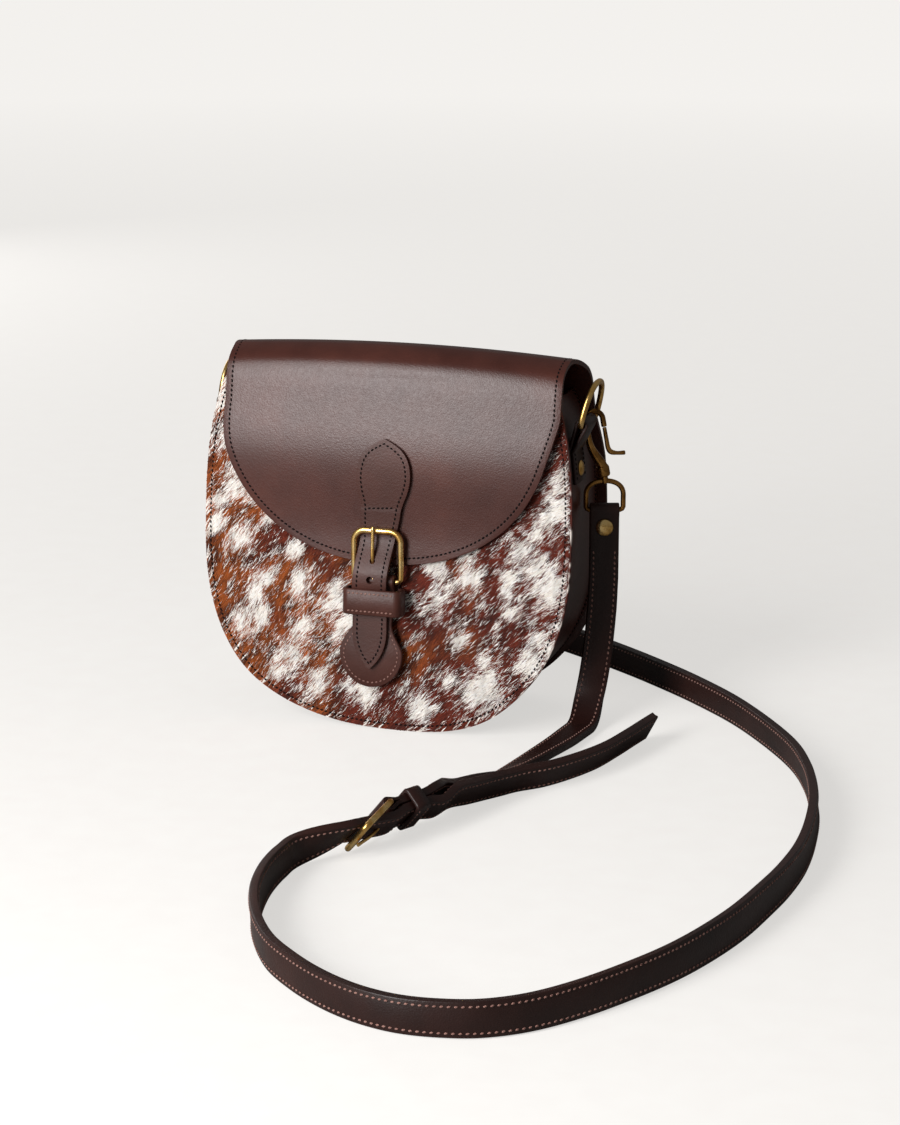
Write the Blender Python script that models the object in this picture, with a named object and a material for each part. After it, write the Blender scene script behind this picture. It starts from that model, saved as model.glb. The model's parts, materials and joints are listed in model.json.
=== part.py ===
import bpy
import bmesh
from math import cos, pi, radians, sin, tan
from mathutils import Vector

# A small saddle bag with a hair-on front, a rolled flap held by a buckled closure strap on a
# hidden snap, and a long shoulder strap that lies on the ground in front of it.
# Metres. +Z is up, the front faces -Y, and the origin is the middle of the base on the ground.

# Clearance between pieces that touch
gap = 0.0003

# Front and back panels
bag_depth = 0.0910
front_lean = radians(4.4)
back_lean = radians(3.3)
panel_thickness = 0.0030
panel_half_width = 0.1044
panel_widest_height = 0.1080
panel_height = 0.1920
panel_top_taper = 0.0118
panel_foot_shift = 0.0085
panel_foot_height = 0.0310
panel_roundness = 2.5
panel_taper_power = 2.8
lining_thickness = 0.0010
lining_inset = 0.0105
lining_foot_rise = 0.0060
lining_top_drop = 0.0080

# Gusset
gusset_thickness = 0.0025
gusset_inset = 0.0050
gusset_top_height = 0.1840

# Rolled top, traced on the outside of the leather
roll_start_drop = 0.0490
roll_start_height = panel_height - roll_start_drop
roll_rise = 0.0624
roll_half_depth = 0.0455
roll_crown = 0.0036
roll_outline_shares = [
    (0.736, 0.224), (0.560, 0.497), (0.435, 0.675), (0.330, 0.785), (0.210, 0.865),
    (0.068, 0.920), (-0.099, 0.968), (-0.275, 1.000), (-0.440, 0.994), (-0.590, 0.945),
    (-0.668, 0.900), (-0.718, 0.845), (-0.746, 0.785),
]
hinge_share = 0.785

# Flap
flap_thickness = 0.0030
flap_half_width = 0.0946
flap_hinge_half_width = 0.0980
flap_shift = 0.0031
flap_shift_start = 0.1500
flap_bottom_height = 0.0924
flap_widest_drop = 0.0080
flap_widest_height = panel_height - flap_widest_drop
flap_roundness = 2.25
flap_lift = 0.0005
flap_columns = 7

# Closure, measured up the front panel and along it from its middle line
closure_low_shift = -0.0045
closure_high_shift = 0.0017
closure_low_height = 0.0700
closure_high_height = 0.1500
leaf_thickness = 0.0028
leaf_half_width = 0.0152
leaf_top_height = 0.1613
leaf_seam_height = 0.1231
leaf_width_shares = [
    (0.000, 0.75), (0.100, 0.81), (0.250, 0.93), (0.430, 1.00), (0.600, 0.97), (0.740, 0.86),
    (0.850, 0.66), (0.940, 0.34), (1.000, 0.06),
]
billet_thickness = 0.0026
billet_half_width = 0.0097
billet_top_half_width = 0.0113
billet_neck_height = 0.1020
billet_shoulder_height = 0.0550
billet_tip_height = 0.0357
billet_tip_half_width = 0.0010
billet_hole_radius = 0.0020
billet_hole_height = 0.0847
tab_thickness = 0.0022
tab_half_width = 0.0180
tab_neck_half_width = 0.0101
tab_neck_height = 0.0620
tab_round_height = 0.0430
tab_bottom_height = 0.0243
tab_lift = 0.0046

# Closure buckle
buckle_wire_radius = 0.0014
buckle_half_width = 0.0133
buckle_corner_radius = 0.0028
buckle_shift = -0.0014
buckle_heel_height = 0.0835
buckle_heel_lift = 0.0065
buckle_top_height = 0.1111
buckle_top_lift = 0.0083
prong_radius = 0.0009
prong_shift = -0.0031
prong_slot_width = 0.0036
prong_slot_low = 0.0905
prong_slot_high = 0.0985
keeper_half_width = 0.0168
keeper_shift = -0.0024
keeper_low_height = 0.0655
keeper_high_height = 0.0796
keeper_thickness = 0.0018
keeper_back_lift = 0.0023
keeper_front_lift = 0.0150
keeper_corner_radius = 0.0030

# Snap
snap_height = 0.0450
snap_disc_radius = 0.0090
snap_disc_thickness = 0.0017
snap_socket_thickness = 0.0020
snap_nipple_radius = 0.0029
snap_nipple_tip_radius = 0.0020
snap_nipple_length = 0.0016
snap_shank_radius = 0.0022
snap_washer_radius = 0.0070
snap_washer_thickness = 0.0008

# Rings on the gusset, given for the right side and mirrored to the left, where the ring
# stands closer, further back and upright, because the strap leads behind the bag there
ring_wire_radius = 0.0016
ring_half_width = 0.0164
ring_height = 0.0226
ring_lean = radians(13.8)
ring_bar_standoff = 0.01087
left_ring_lean = radians(-6.0)
left_bar_standoff = 0.0075
left_ring_shift = 0.0050
ring_bar_drop = 0.0210
ring_bar_height = panel_height - ring_bar_drop
ring_middle = -0.0075
ring_roundness = 2.3
tab_leather = 0.0018
ring_tab_width = 0.0200
ring_tab_middle = -0.0115
ring_tab_low_drop = 0.0320
ring_tab_low_height = ring_bar_height - ring_tab_low_drop
ring_tab_leave_drop = 0.0150
ring_tab_leave_height = ring_bar_height - ring_tab_leave_drop
ring_rivet_drop = 0.0250
ring_rivet_height = ring_bar_height - ring_rivet_drop
ring_rivet_head_radius = 0.0042
ring_rivet_head_height = 0.0016
ring_rivet_shank_radius = 0.0015

# Swivel snap hooks
hook_place = 0.0045
hook_turn = radians(19.0)
hook_tilt = radians(10.5)
left_hook_place = 0.0080
left_hook_turn = radians(36.0)
left_hook_tilt = radians(15.8)
hook_wire_radius = 0.0015
hook_mouth_radius = 0.0032
hook_nose_drop = 0.0060
hook_spine_drop = 0.0150
hook_trunk_radius = 0.0030
hook_collar_radius = 0.0036
hook_collar_top = 0.0270
hook_collar_end = 0.0330
lever_radius = 0.0012
lever_pivot_drop = 0.0205
lever_pivot_reach = 0.0048
lever_reach = 0.0135
lever_tip_drop = 0.0222
eye_wire_radius = 0.0014
eye_half_width = 0.0101
eye_height = 0.0160
eye_post_radius = 0.0020
eye_post_rise = 0.0024

# Shoulder strap
strap_width = 0.0160
strap_layer = 0.0020
strap_layer_gap = 0.0003
strap_fold_length = 0.0200
strap_low_drop = 0.0760
strap_hang_height = ring_bar_height - strap_low_drop
strap_rivet_head_radius = 0.0048
strap_rivet_head_height = 0.0020
strap_rivet_shank_radius = 0.0015
strap_rivet_drop = 0.0095

# Strap buckle
link_place_shares = (0.570, -2.275, 0.131)
link_run = (0.172, 0.962, 0.212)
link_across = (0.606, -0.273, 0.746)
link_wire_radius = 0.0016
link_half_length = 0.0130
link_half_width = 0.0106
link_corner_radius = 0.0030
link_pitch = radians(20.0)
link_prong_radius = 0.0009
link_pitch_share = 1.06
link_slot_width = 0.0034
loop_thickness = 0.0016
loop_width = 0.0090
loop_slack = 0.0008
loop_distance = 0.0170
loop_run = 0.0260
loop_spread = 0.0015

# The strap's route on the ground is laid out in steps of this length
route_length = 0.1000

# Columns: across, away, lift of the lower edge, lean of the strap in degrees
long_floor_shares = [
    (-0.990, 0.330, 0.000, 86), (-0.985, 0.520, 0.000, 70), (-0.950, 0.720, 0.000, 40),
    (-0.880, 0.930, 0.000, 12), (-0.750, 1.150, 0.000, 2), (-0.560, 1.350, 0.000, 0),
    (-0.330, 1.480, 0.000, 0), (-0.080, 1.530, 0.000, 0), (0.170, 1.490, 0.000, 1),
    (0.390, 1.400, 0.000, 1), (0.580, 1.290, 0.000, 2), (0.930, 1.040, 0.000, 3),
    (1.240, 0.790, 0.000, 3), (1.570, 0.490, 0.000, 3), (1.900, 0.130, 0.000, 4),
    (2.250, -0.380, 0.000, 4), (2.430, -0.780, 0.000, 4), (2.545, -1.200, 0.000, 4),
    (2.605, -1.600, 0.000, 5), (2.628, -1.960, 0.000, 6), (2.615, -2.280, 0.000, 8),
    (2.580, -2.560, 0.000, 10), (2.530, -2.860, 0.000, 12), (2.450, -3.150, 0.000, 12),
    (2.350, -3.410, 0.000, 10), (2.220, -3.660, 0.000, 8), (2.070, -3.900, 0.000, 6),
    (1.910, -4.090, 0.000, 4), (1.740, -4.210, 0.000, 3), (1.570, -4.260, 0.000, 2),
    (1.400, -4.270, 0.000, 1), (1.240, -4.235, 0.000, 0), (1.090, -4.170, 0.000, 0),
    (0.940, -4.075, 0.000, 0), (0.800, -3.960, 0.000, 0), (0.670, -3.830, 0.000, -1),
    (0.570, -3.690, 0.000, -2), (0.475, -3.520, 0.000, -3), (0.400, -3.340, 0.000, -4),
    (0.350, -3.170, 0.000, -5), (0.312, -2.960, 0.000, -5), (0.300, -2.750, 0.000, -3),
    (0.318, -2.600, 0.010, 4),
]
tail_floor_shares = [
    (0.778, -1.710, 0.045, 33), (0.832, -1.570, 0.025, 30),
    (0.884, -1.440, 0.010, 28), (0.940, -1.330, 0.002, 28), (1.000, -1.235, 0.000, 28),
    (1.110, -1.120, 0.000, 28), (1.210, -0.950, 0.000, 28), (1.290, -0.760, 0.000, 28),
    (1.345, -0.540, 0.002, 28), (1.385, -0.350, 0.004, 28), (1.415, -0.215, 0.006, 28),
]
short_floor_shares = [
    (0.985, -0.120, 0.000, -88), (0.965, -0.270, 0.000, -87), (0.948, -0.450, 0.000, -85),
    (0.918, -0.650, 0.000, -80), (0.886, -0.850, 0.000, -76), (0.852, -1.050, 0.000, -70),
    (0.820, -1.220, 0.000, -60), (0.785, -1.360, 0.000, -46), (0.758, -1.490, 0.000, -32),
    (0.728, -1.600, 0.012, -28), (0.695, -1.700, 0.045, -30),
]

# The lowest row of a round foot, as a share of a whole step
first_row_share = 0.9

round_sides = 8
curve_steps = 3


def clearScene():
    """Empty the scene."""
    for item in list(bpy.data.objects):
        bpy.data.objects.remove(item, do_unlink=True)


def makeMaterial(name, colour, roughness, metallic):
    material = bpy.data.materials.new(name)
    material.use_nodes = True
    shader = material.node_tree.nodes["Principled BSDF"]
    shader.inputs["Base Color"].default_value = (*colour, 1)
    shader.inputs["Roughness"].default_value = roughness
    shader.inputs["Metallic"].default_value = metallic
    return material


def makeAxis(name, place, parent=None):
    """An empty that carries the pieces turning about its place."""
    axis = bpy.data.objects.new(name, None)
    bpy.context.collection.objects.link(axis)
    axis.parent = parent
    axis.location = place - (worldPlace(parent) if parent else Vector())
    return axis


def worldPlace(item):
    place = Vector()
    while item:
        place += item.location
        item = item.parent
    return place


def makeObject(name, points, faces, material, axis=None):
    """A closed body from points and faces, hung on an axis where it moves."""
    origin = worldPlace(axis) if axis else Vector()
    mesh = bpy.data.meshes.new(name)
    mesh.from_pydata([point - origin for point in points], [], faces)
    body = bmesh.new()
    body.from_mesh(mesh)
    bmesh.ops.recalc_face_normals(body, faces=body.faces)
    if body.calc_volume(signed=True) < 0:
        bmesh.ops.reverse_faces(body, faces=body.faces)
    body.to_mesh(mesh)
    body.free()
    mesh.materials.append(material)
    item = bpy.data.objects.new(name, mesh)
    bpy.context.collection.objects.link(item)
    item.parent = axis
    return item


def loft(name, rings, material, axis=None, closed=False):
    """Join rings of points one after another, capped unless the row of rings closes."""
    count = len(rings[0])
    points = [point for ring in rings for point in ring]
    faces = []
    last = len(rings) if closed else len(rings) - 1
    for row in range(last):
        near = row * count
        far = (row + 1) % len(rings) * count
        for step in range(count):
            following = (step + 1) % count
            faces.append((near + step, near + following, far + following, far + step))
    if not closed:
        faces.append(tuple(range(count)))
        faces.append(tuple(range(len(points) - count, len(points))))
    return makeObject(name, points, faces, material, axis)


def smoothCurve(points, steps=curve_steps, closed=False):
    """Points on a smooth curve through the given ones, whatever their number of columns."""
    count = len(points)
    result = []
    last = count if closed else count - 1
    for row in range(last):
        if closed:
            four = [points[(row + shift) % count] for shift in (-1, 0, 1, 2)]
        else:
            four = [points[min(max(row + shift, 0), count - 1)] for shift in (-1, 0, 1, 2)]
        for step in range(steps):
            t = step / steps
            weights = (
                (-t ** 3 + 2 * t ** 2 - t) / 2,
                (3 * t ** 3 - 5 * t ** 2 + 2) / 2,
                (-3 * t ** 3 + 4 * t ** 2 + t) / 2,
                (t ** 3 - t ** 2) / 2,
            )
            columns = zip(*four)
            result.append(tuple(sum(w * v for w, v in zip(weights, c)) for c in columns))
    if not closed:
        result.append(tuple(points[-1]))
    return result


def directions(points, closed=False):
    """Unit vectors along a row of points."""
    result = []
    count = len(points)
    for row in range(count):
        if closed:
            step = points[(row + 1) % count] - points[row - 1]
        else:
            step = points[min(row + 1, count - 1)] - points[max(row - 1, 0)]
        result.append(step.normalized())
    return result


def tube(name, path, radii, plane, material, axis=None, closed=False, sides=round_sides):
    """A round wire along a path that lies in one plane, given by the plane's normal."""
    rings = []
    for place, along, radius in zip(path, directions(path, closed), radii):
        side = along.cross(plane).normalized()
        turns = [2 * pi * step / sides for step in range(sides)]
        rings.append([place + radius * (side * cos(a) + plane * sin(a)) for a in turns])
    return loft(name, rings, material, axis, closed)


def band(name, path, acrosses, half_widths, thicknesses, material, axis=None):
    """A flat strip along a path; each row has its own direction across, width and thickness."""
    rings = []
    rows = zip(path, directions(path), acrosses, half_widths, thicknesses)
    for place, along, across, half_width, thickness in rows:
        across = (across - along * across.dot(along)).normalized()
        out = along.cross(across)
        half = thickness / 2
        rings.append([
            place + across * half_width + out * half,
            place - across * half_width + out * half,
            place - across * half_width - out * half,
            place + across * half_width - out * half,
        ])
    return loft(name, rings, material, axis)


def turned(name, profile, place, up, material, axis=None, closed=False, sides=16):
    """A body of revolution from pairs of radius and height along up."""
    side = up.orthogonal().normalized()
    other = up.cross(side).normalized()
    rings = []
    for radius, height in profile:
        turns = [2 * pi * step / sides for step in range(sides)]
        centre = place + up * height
        rings.append([centre + radius * (side * cos(a) + other * sin(a)) for a in turns])
    return loft(name, rings, material, axis, closed)


def cutWith(item, cutter):
    """Take the cutter's shape out of a piece and keep the cutter as a hidden guide."""
    cutter.hide_render = True
    cutter.display_type = "WIRE"
    cut = item.modifiers.new(cutter.name, "BOOLEAN")
    cut.operation = "DIFFERENCE"
    cut.solver = "EXACT"
    cut.object = cutter


def domeProfile(shank_radius, head_radius, head_height, low, high):
    """Rivet with a domed head at each end of its shank, from low to high along its axis."""
    crown = [radians(angle) for angle in (0, 25, 50, 75)]
    bottom = [(head_radius * cos(a), low - head_height * sin(a)) for a in reversed(crown)]
    top = [(head_radius * cos(a), high + head_height * sin(a)) for a in crown]
    return bottom + [(shank_radius, low), (shank_radius, high)] + top


def smoothShare(value, low, high):
    share = min(max((value - low) / (high - low), 0), 1)
    return share * share * (3 - 2 * share)


def roundedFoot(half_width, height, roundness, count):
    """Heights and half widths of a squared-off round foot, from the bottom to its widest."""
    rows = []
    for step in range(count):
        angle = pi / 2 * (step + first_row_share) / (count - 1 + first_row_share)
        rows.append((
            height * (1 - cos(angle) ** (2 / roundness)),
            half_width * sin(angle) ** (2 / roundness),
        ))
    return rows


# Surfaces that several pieces share

def frontPlace(across, up, out):
    """A point on the front panel: across it, up its face and out from its hide."""
    foot = panel_thickness * sin(front_lean)
    return Vector((
        across,
        -bag_depth / 2 + up * sin(front_lean) - out * cos(front_lean),
        foot + up * cos(front_lean) + out * sin(front_lean),
    ))


front_out = Vector((0, -cos(front_lean), sin(front_lean)))
front_up = Vector((0, sin(front_lean), cos(front_lean)))
back_foot = panel_thickness * sin(back_lean)
sideways = Vector((1, 0, 0))


def panelRows(inset, foot_rise, top, count):
    """Heights, middles and half widths of the panels' outline, moved in by an inset."""
    rows = []
    height = panel_widest_height - foot_rise
    for up, half in roundedFoot(panel_half_width - inset, height, panel_roundness, count):
        rows.append((foot_rise + up, panelMiddle(foot_rise + up), half))
    steps = count // 2
    for step in range(1, steps + 1):
        up = panel_widest_height + (top - panel_widest_height) * step / steps
        rows.append((up, 0, panelHalfWidth(up) - inset))
    return rows


def panelMiddle(up):
    share = max(1 - up / panel_foot_height, 0)
    return panel_foot_shift * share * share


def panelHalfWidth(up):
    """Half width of the panels above their widest height."""
    share = max(up - panel_widest_height, 0) / (panel_height - panel_widest_height)
    return panel_half_width - panel_top_taper * share ** panel_taper_power


def backFace(height):
    """Depth of the back panel's outside at a height on its straight part."""
    return bag_depth / 2 - (height - back_foot) * tan(back_lean)


def closureMiddle(up):
    share = smoothShare(up, closure_low_height, closure_high_height)
    return closure_low_shift + (closure_high_shift - closure_low_shift) * share


def rollOutline():
    """The outside of the rolled top in the plane of depth and height, from back to front."""
    points = [(backFace(roll_start_height), roll_start_height)]
    for depth, rise in roll_outline_shares:
        points.append((depth * roll_half_depth, roll_start_height + rise * roll_rise))
    flap_out = flap_lift + flap_thickness
    for up in (flap_widest_height + flap_out, flap_widest_height - flap_out):
        place = frontPlace(0, up, flap_out)
        points.append((place.y, place.z))
    return [Vector((0, depth, height)) for depth, height in smoothCurve(points)]


def gussetFace(height):
    return panelHalfWidth(height) - gusset_inset


roll = rollOutline()
hinge_row = next(
    row for row, place in enumerate(roll)
    if place.z >= roll_start_height + hinge_share * roll_rise - gap
)
hinge_place = roll[hinge_row]
roll_along = directions(roll)
hinge_along = roll_along[hinge_row]
apex_height = max(place.z for place in roll)


def outward(along):
    """The outside direction of the roll, square to its run from back to front."""
    return Vector((0, -along.z, along.y)) * -1


def crownShare(place):
    low = hinge_place.z
    return smoothShare(place.z, low, apex_height)


def sheet(name, rows, material, columns, axis=None):
    """A leather sheet from rows of outer place, outward, middle, half width, thickness, crown."""
    rings = []
    for place, out, middle, half_width, thickness, crown in rows:
        outer = []
        inner = []
        for step in range(columns):
            share = 2 * step / (columns - 1) - 1
            across = sideways * (middle + half_width * share)
            raised = place + across + out * crown * (1 - share * share)
            outer.append(raised)
            inner.append(raised - out * thickness)
        rings.append(outer + inner[::-1])
    return loft(name, rings, material, axis)


# Body of the bag

def makeFrontPanel():
    rows = [
        (frontPlace(0, up, 0), front_out, middle, half, panel_thickness, 0)
        for up, middle, half in panelRows(0, 0, panel_height, 14)
    ]
    panel = sheet("front_panel", rows, hide, 2)
    cutWith(panel, snapHole("front_panel_snap_hole"))


def makeFrontLining():
    out = -panel_thickness - gap
    top = panel_height - lining_top_drop
    rows = [
        (frontPlace(0, up, out), front_out, middle, half, lining_thickness, 0)
        for up, middle, half in panelRows(lining_inset, lining_foot_rise, top, 10)
    ]
    panel = sheet("front_lining", rows, suede, 2)
    cutWith(panel, snapHole("front_lining_snap_hole"))


def snapHole(name):
    """Guide for the hole that the snap's shank goes through."""
    across = closureMiddle(snap_height)
    depth = panel_thickness * 2
    radius = snap_shank_radius + gap
    profile = [(radius, -depth), (radius, depth)]
    return turned(name, profile, frontPlace(across, snap_height, 0), front_out, guide)


def makeBackPanel():
    straight = Vector((0, cos(back_lean), sin(back_lean)))
    rows = []
    for up, middle, half in panelRows(0, 0, panel_height, 14):
        height = back_foot + up * cos(back_lean)
        if height >= roll_start_height:
            break
        rows.append((
            Vector((0, backFace(height), height)), straight, middle, half, panel_thickness, 0,
        ))
    for row in range(hinge_row):
        place = roll[row]
        share = smoothShare(place.z, roll_start_height, hinge_place.z)
        half = panelHalfWidth(place.z)
        half += (flap_hinge_half_width - half) * share
        out = outward(roll_along[row])
        rows.append((place, out, flap_shift * share, half, panel_thickness, 0))
    end = hinge_place - hinge_along * gap / 2
    rows.append((
        end, outward(hinge_along), flap_shift, flap_hinge_half_width, panel_thickness, 0,
    ))
    sheet("back_panel", rows, leather, 2)


def makeBackLining():
    straight = Vector((0, cos(back_lean), sin(back_lean)))
    rows = []
    for up, middle, half in panelRows(lining_inset, lining_foot_rise, panel_height, 10):
        height = back_foot + up * cos(back_lean)
        if height >= roll_start_height:
            break
        place = Vector((0, backFace(height), height)) - straight * (panel_thickness + gap)
        rows.append((place, straight, middle, half, lining_thickness, 0))
    sheet("back_lining", rows, suede, 2)


def gussetOutline():
    """Places across and up the outside of the gusset, from its right top round to its left."""
    right = []
    count = 14
    half_width = panel_half_width - gusset_inset
    for up, half in roundedFoot(half_width, panel_widest_height, panel_roundness, count):
        right.append((panelMiddle(up), half, up))
    right[0] = (*right[0][:2], 0)
    steps = 6
    for step in range(1, steps + 1):
        up = panel_widest_height + (gusset_top_height - panel_widest_height) * step / steps
        right.append((0, panelHalfWidth(up) - gusset_inset, up))
    down = [Vector((middle + half, 0, up)) for middle, half, up in reversed(right)]
    back_up = [Vector((middle - half, 0, up)) for middle, half, up in right]
    return down + back_up


def backInside(height):
    """Depth of the back panel's inside at a height, with the clearance taken off."""
    depth = panel_thickness + gap
    if height < roll_start_height:
        return backFace(height) - depth / cos(back_lean)
    for low, high, along in zip(roll, roll[1:], roll_along):
        first = low - outward(along) * depth
        second = high - outward(along) * depth
        if second.z >= height:
            share = (height - first.z) / (second.z - first.z)
            return first.y + (second.y - first.y) * max(share, 0)
    return hinge_place.y - depth


def frontInside(height):
    """Depth of the front panel's inside at a height, with the clearance added."""
    foot = panel_thickness * sin(front_lean)
    depth = (panel_thickness + gap) / cos(front_lean)
    return -bag_depth / 2 + (height - foot) * tan(front_lean) + depth


def makeGusset():
    rings = []
    outline = gussetOutline()
    for place, along in zip(outline, directions(outline)):
        out = Vector((along.z, 0, -along.x)) * -1
        inner = place - out * gusset_thickness
        rings.append([
            Vector((place.x, frontInside(place.z), place.z)),
            Vector((place.x, backInside(place.z), place.z)),
            Vector((inner.x, backInside(inner.z), inner.z)),
            Vector((inner.x, frontInside(inner.z), inner.z)),
        ])
    gusset = loft("gusset", rings, leather)
    for side in (1, -1):
        cutWith(gusset, ringRivetHole("gusset_rivet_hole_" + sideName(side), side))


# Flap

def flapRow(place, out, thickness, middle, half):
    return (place, out, middle, half, thickness, roll_crown * crownShare(place))


def makeFlap():
    start = hinge_place + hinge_along * gap / 2
    rows = [flapRow(start, outward(hinge_along), flap_thickness, flap_shift,
                    flap_hinge_half_width)]
    front_start = roll[-1].z
    for place, along in list(zip(roll, roll_along))[hinge_row + 1:]:
        share = smoothShare(place.y, front_line_depth, hinge_place.y)
        half = flap_half_width + (flap_hinge_half_width - flap_half_width) * share
        rows.append(flapRow(place, outward(along), flap_thickness, flap_shift, half))
    height = flap_widest_height - flap_bottom_height
    flap_out = flap_lift + flap_thickness
    foot = roundedFoot(flap_half_width, height, flap_roundness, 16)
    for rise, half in reversed(foot):
        up = flap_bottom_height + rise
        place = frontPlace(0, up, flap_out)
        if place.z > front_start - flap_thickness:
            continue
        middle = flap_shift * smoothShare(up, flap_shift_start, flap_widest_height)
        rows.append((place, front_out, middle, half, flap_thickness, 0))
    sheet("flap", rows, leather, flap_columns, flap_axis)


# Closure

def frontStrip(name, rows, thickness, material, axis):
    """A strip that runs down the front; rows hold height, lift of its middle, half width."""
    path = []
    for up, lift, half, middle in rows:
        path.append(frontPlace(middle, up, lift))
    count = len(rows)
    halves = [row[2] for row in rows]
    return band(name, path, [sideways] * count, halves, [thickness] * count, material, axis)


leaf_lift = flap_lift + flap_thickness + gap + leaf_thickness / 2


def makeLeaf():
    height = leaf_top_height - leaf_seam_height
    rows = []
    for up, width in smoothCurve(leaf_width_shares, 3):
        place = leaf_seam_height + gap + up * (height - gap)
        rows.append((place, leaf_lift, leaf_half_width * width, closureMiddle(place)))
    frontStrip("closure_leaf", rows, leaf_thickness, leather, flap_axis)


heel_fold_radius = buckle_wire_radius + gap + tab_thickness / 2
billet_low_lift = tab_lift + tab_thickness + gap + billet_thickness / 2
billet_heel_lift = buckle_heel_lift + heel_fold_radius + tab_thickness / 2 + gap
billet_heel_lift += billet_thickness / 2
billet_top_lift = flap_lift + flap_thickness + gap + billet_thickness / 2


def billetLift(up):
    """Lift of the billet's middle, over the heel bar and under the top bar of the buckle."""
    top = buckle_top_height - buckle_wire_radius * 2
    heel = buckle_heel_height + buckle_wire_radius * 2
    if up > heel:
        share = smoothShare(up, heel, top)
        return billet_heel_lift + (billet_top_lift - billet_heel_lift) * share
    low = keeper_low_height + keeper_thickness * 2
    share = smoothShare(up, low, buckle_heel_height)
    return billet_low_lift + (billet_heel_lift - billet_low_lift) * share


def billetHalfWidth(up):
    if up < billet_shoulder_height:
        share = (up - billet_tip_height) / (billet_shoulder_height - billet_tip_height)
        return billet_tip_half_width + (billet_half_width - billet_tip_half_width) * share
    share = smoothShare(up, billet_neck_height, leaf_seam_height)
    return billet_half_width + (billet_top_half_width - billet_half_width) * share


def makeBillet():
    count = 34
    rows = []
    for step in range(count + 1):
        up = leaf_seam_height + (billet_tip_height - leaf_seam_height) * step / count
        rows.append((up, billetLift(up), billetHalfWidth(up), closureMiddle(up)))
    billet = frontStrip("closure_strap", rows, billet_thickness, leather, closure_axis)
    reach = billet_thickness * 4
    middle = (prong_slot_low + prong_slot_high) / 2
    place = frontPlace(prong_shift, middle, billetLift(middle))
    half_height = (prong_slot_high - prong_slot_low) / 2
    slot = makeBox("closure_strap_prong_slot", place, prong_slot_width / 2, half_height, reach)
    cutWith(billet, slot)
    hole_place = frontPlace(closureMiddle(billet_hole_height), billet_hole_height,
                            billetLift(billet_hole_height))
    half = billet_thickness
    profile = [(billet_hole_radius, -half), (billet_hole_radius, half)]
    hole = turned("closure_strap_spare_hole", profile, hole_place, front_out, guide)
    cutWith(billet, hole)


def makeBox(name, place, half_across, half_up, half_out):
    """A box guide square to the front panel."""
    rings = []
    for out in (-half_out, half_out):
        rings.append([
            place + sideways * across * half_across + front_up * up * half_up
            + front_out * out
            for across, up in ((1, 1), (-1, 1), (-1, -1), (1, -1))
        ])
    return loft(name, rings, guide)


def tabMiddle(up):
    """Middle of the base tab, which runs from the billet's middle over to the buckle's."""
    share = smoothShare(up, tab_round_height, keeper_high_height)
    return closureMiddle(up) + (buckle_shift - closureMiddle(up)) * share


def makeBaseTab():
    """Round tab under the billet, whose upper end folds round the buckle's heel bar."""
    lift = tab_lift + tab_thickness / 2
    rows = []
    bottom_height = tab_round_height - tab_bottom_height
    for rise, half in roundedFoot(tab_half_width, bottom_height, 2, 7):
        rows.append((tab_bottom_height + rise, lift, half))
    steps = 5
    for step in range(1, steps + 1):
        up = tab_round_height + (tab_neck_height - tab_round_height) * step / steps
        share = smoothShare(up, tab_round_height, tab_neck_height)
        half = tab_half_width + (tab_neck_half_width - tab_half_width) * share
        rows.append((up, lift, half))
    fold_start = buckle_heel_height - heel_fold_radius * 2
    rise = buckle_heel_lift + heel_fold_radius - lift
    for step in range(1, steps + 1):
        share = step / steps
        up = fold_start + (buckle_heel_height - fold_start) * (share - 1 / steps)
        rows.append((up, lift + rise * smoothShare(share - 1 / steps, 0, 1),
                     tab_neck_half_width))
    turns = 8
    for step in range(turns + 1):
        angle = pi * step / turns
        rows.append((
            buckle_heel_height + heel_fold_radius * sin(angle),
            buckle_heel_lift + heel_fold_radius * cos(angle),
            tab_neck_half_width,
        ))
    rows.append((
        buckle_heel_height - heel_fold_radius, buckle_heel_lift - heel_fold_radius,
        tab_neck_half_width,
    ))
    rows = [(up, out, half, tabMiddle(up)) for up, out, half in rows]
    tab = frontStrip("closure_base", rows, tab_thickness, leather, closure_axis)
    reach = heel_fold_radius * 2
    place = frontPlace(prong_shift, buckle_heel_height + tab_thickness / 2, buckle_heel_lift)
    slot = makeBox("closure_base_prong_slot", place, prong_slot_width / 2, reach, reach)
    cutWith(tab, slot)


def roundedFrame(half_width, half_height, corner, steps=4):
    """Places across and up a frame with round corners, starting in the middle of its foot."""
    points = [(0, -half_height)]
    for quarter, (across, up) in enumerate(((1, -1), (1, 1), (-1, 1), (-1, -1))):
        for step in range(steps + 1):
            angle = pi / 2 * (quarter - 1 + step / steps)
            points.append((
                across * (half_width - corner) + corner * cos(angle),
                up * (half_height - corner) + corner * sin(angle),
            ))
    return points


def makeBuckle():
    half_height = (buckle_top_height - buckle_heel_height) / 2
    middle = (buckle_top_height + buckle_heel_height) / 2
    path = []
    for across, up in roundedFrame(buckle_half_width, half_height, buckle_corner_radius):
        share = (up + half_height) / (2 * half_height)
        lift = buckle_heel_lift + (buckle_top_lift - buckle_heel_lift) * share
        path.append(frontPlace(buckle_shift + across, middle + up, lift))
    slope = (path[len(path) // 2] - path[0]).normalized()
    plane = slope.cross(sideways).normalized()
    tube("closure_buckle", path, [buckle_wire_radius] * len(path), plane, brass,
         closure_axis, True)


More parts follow.
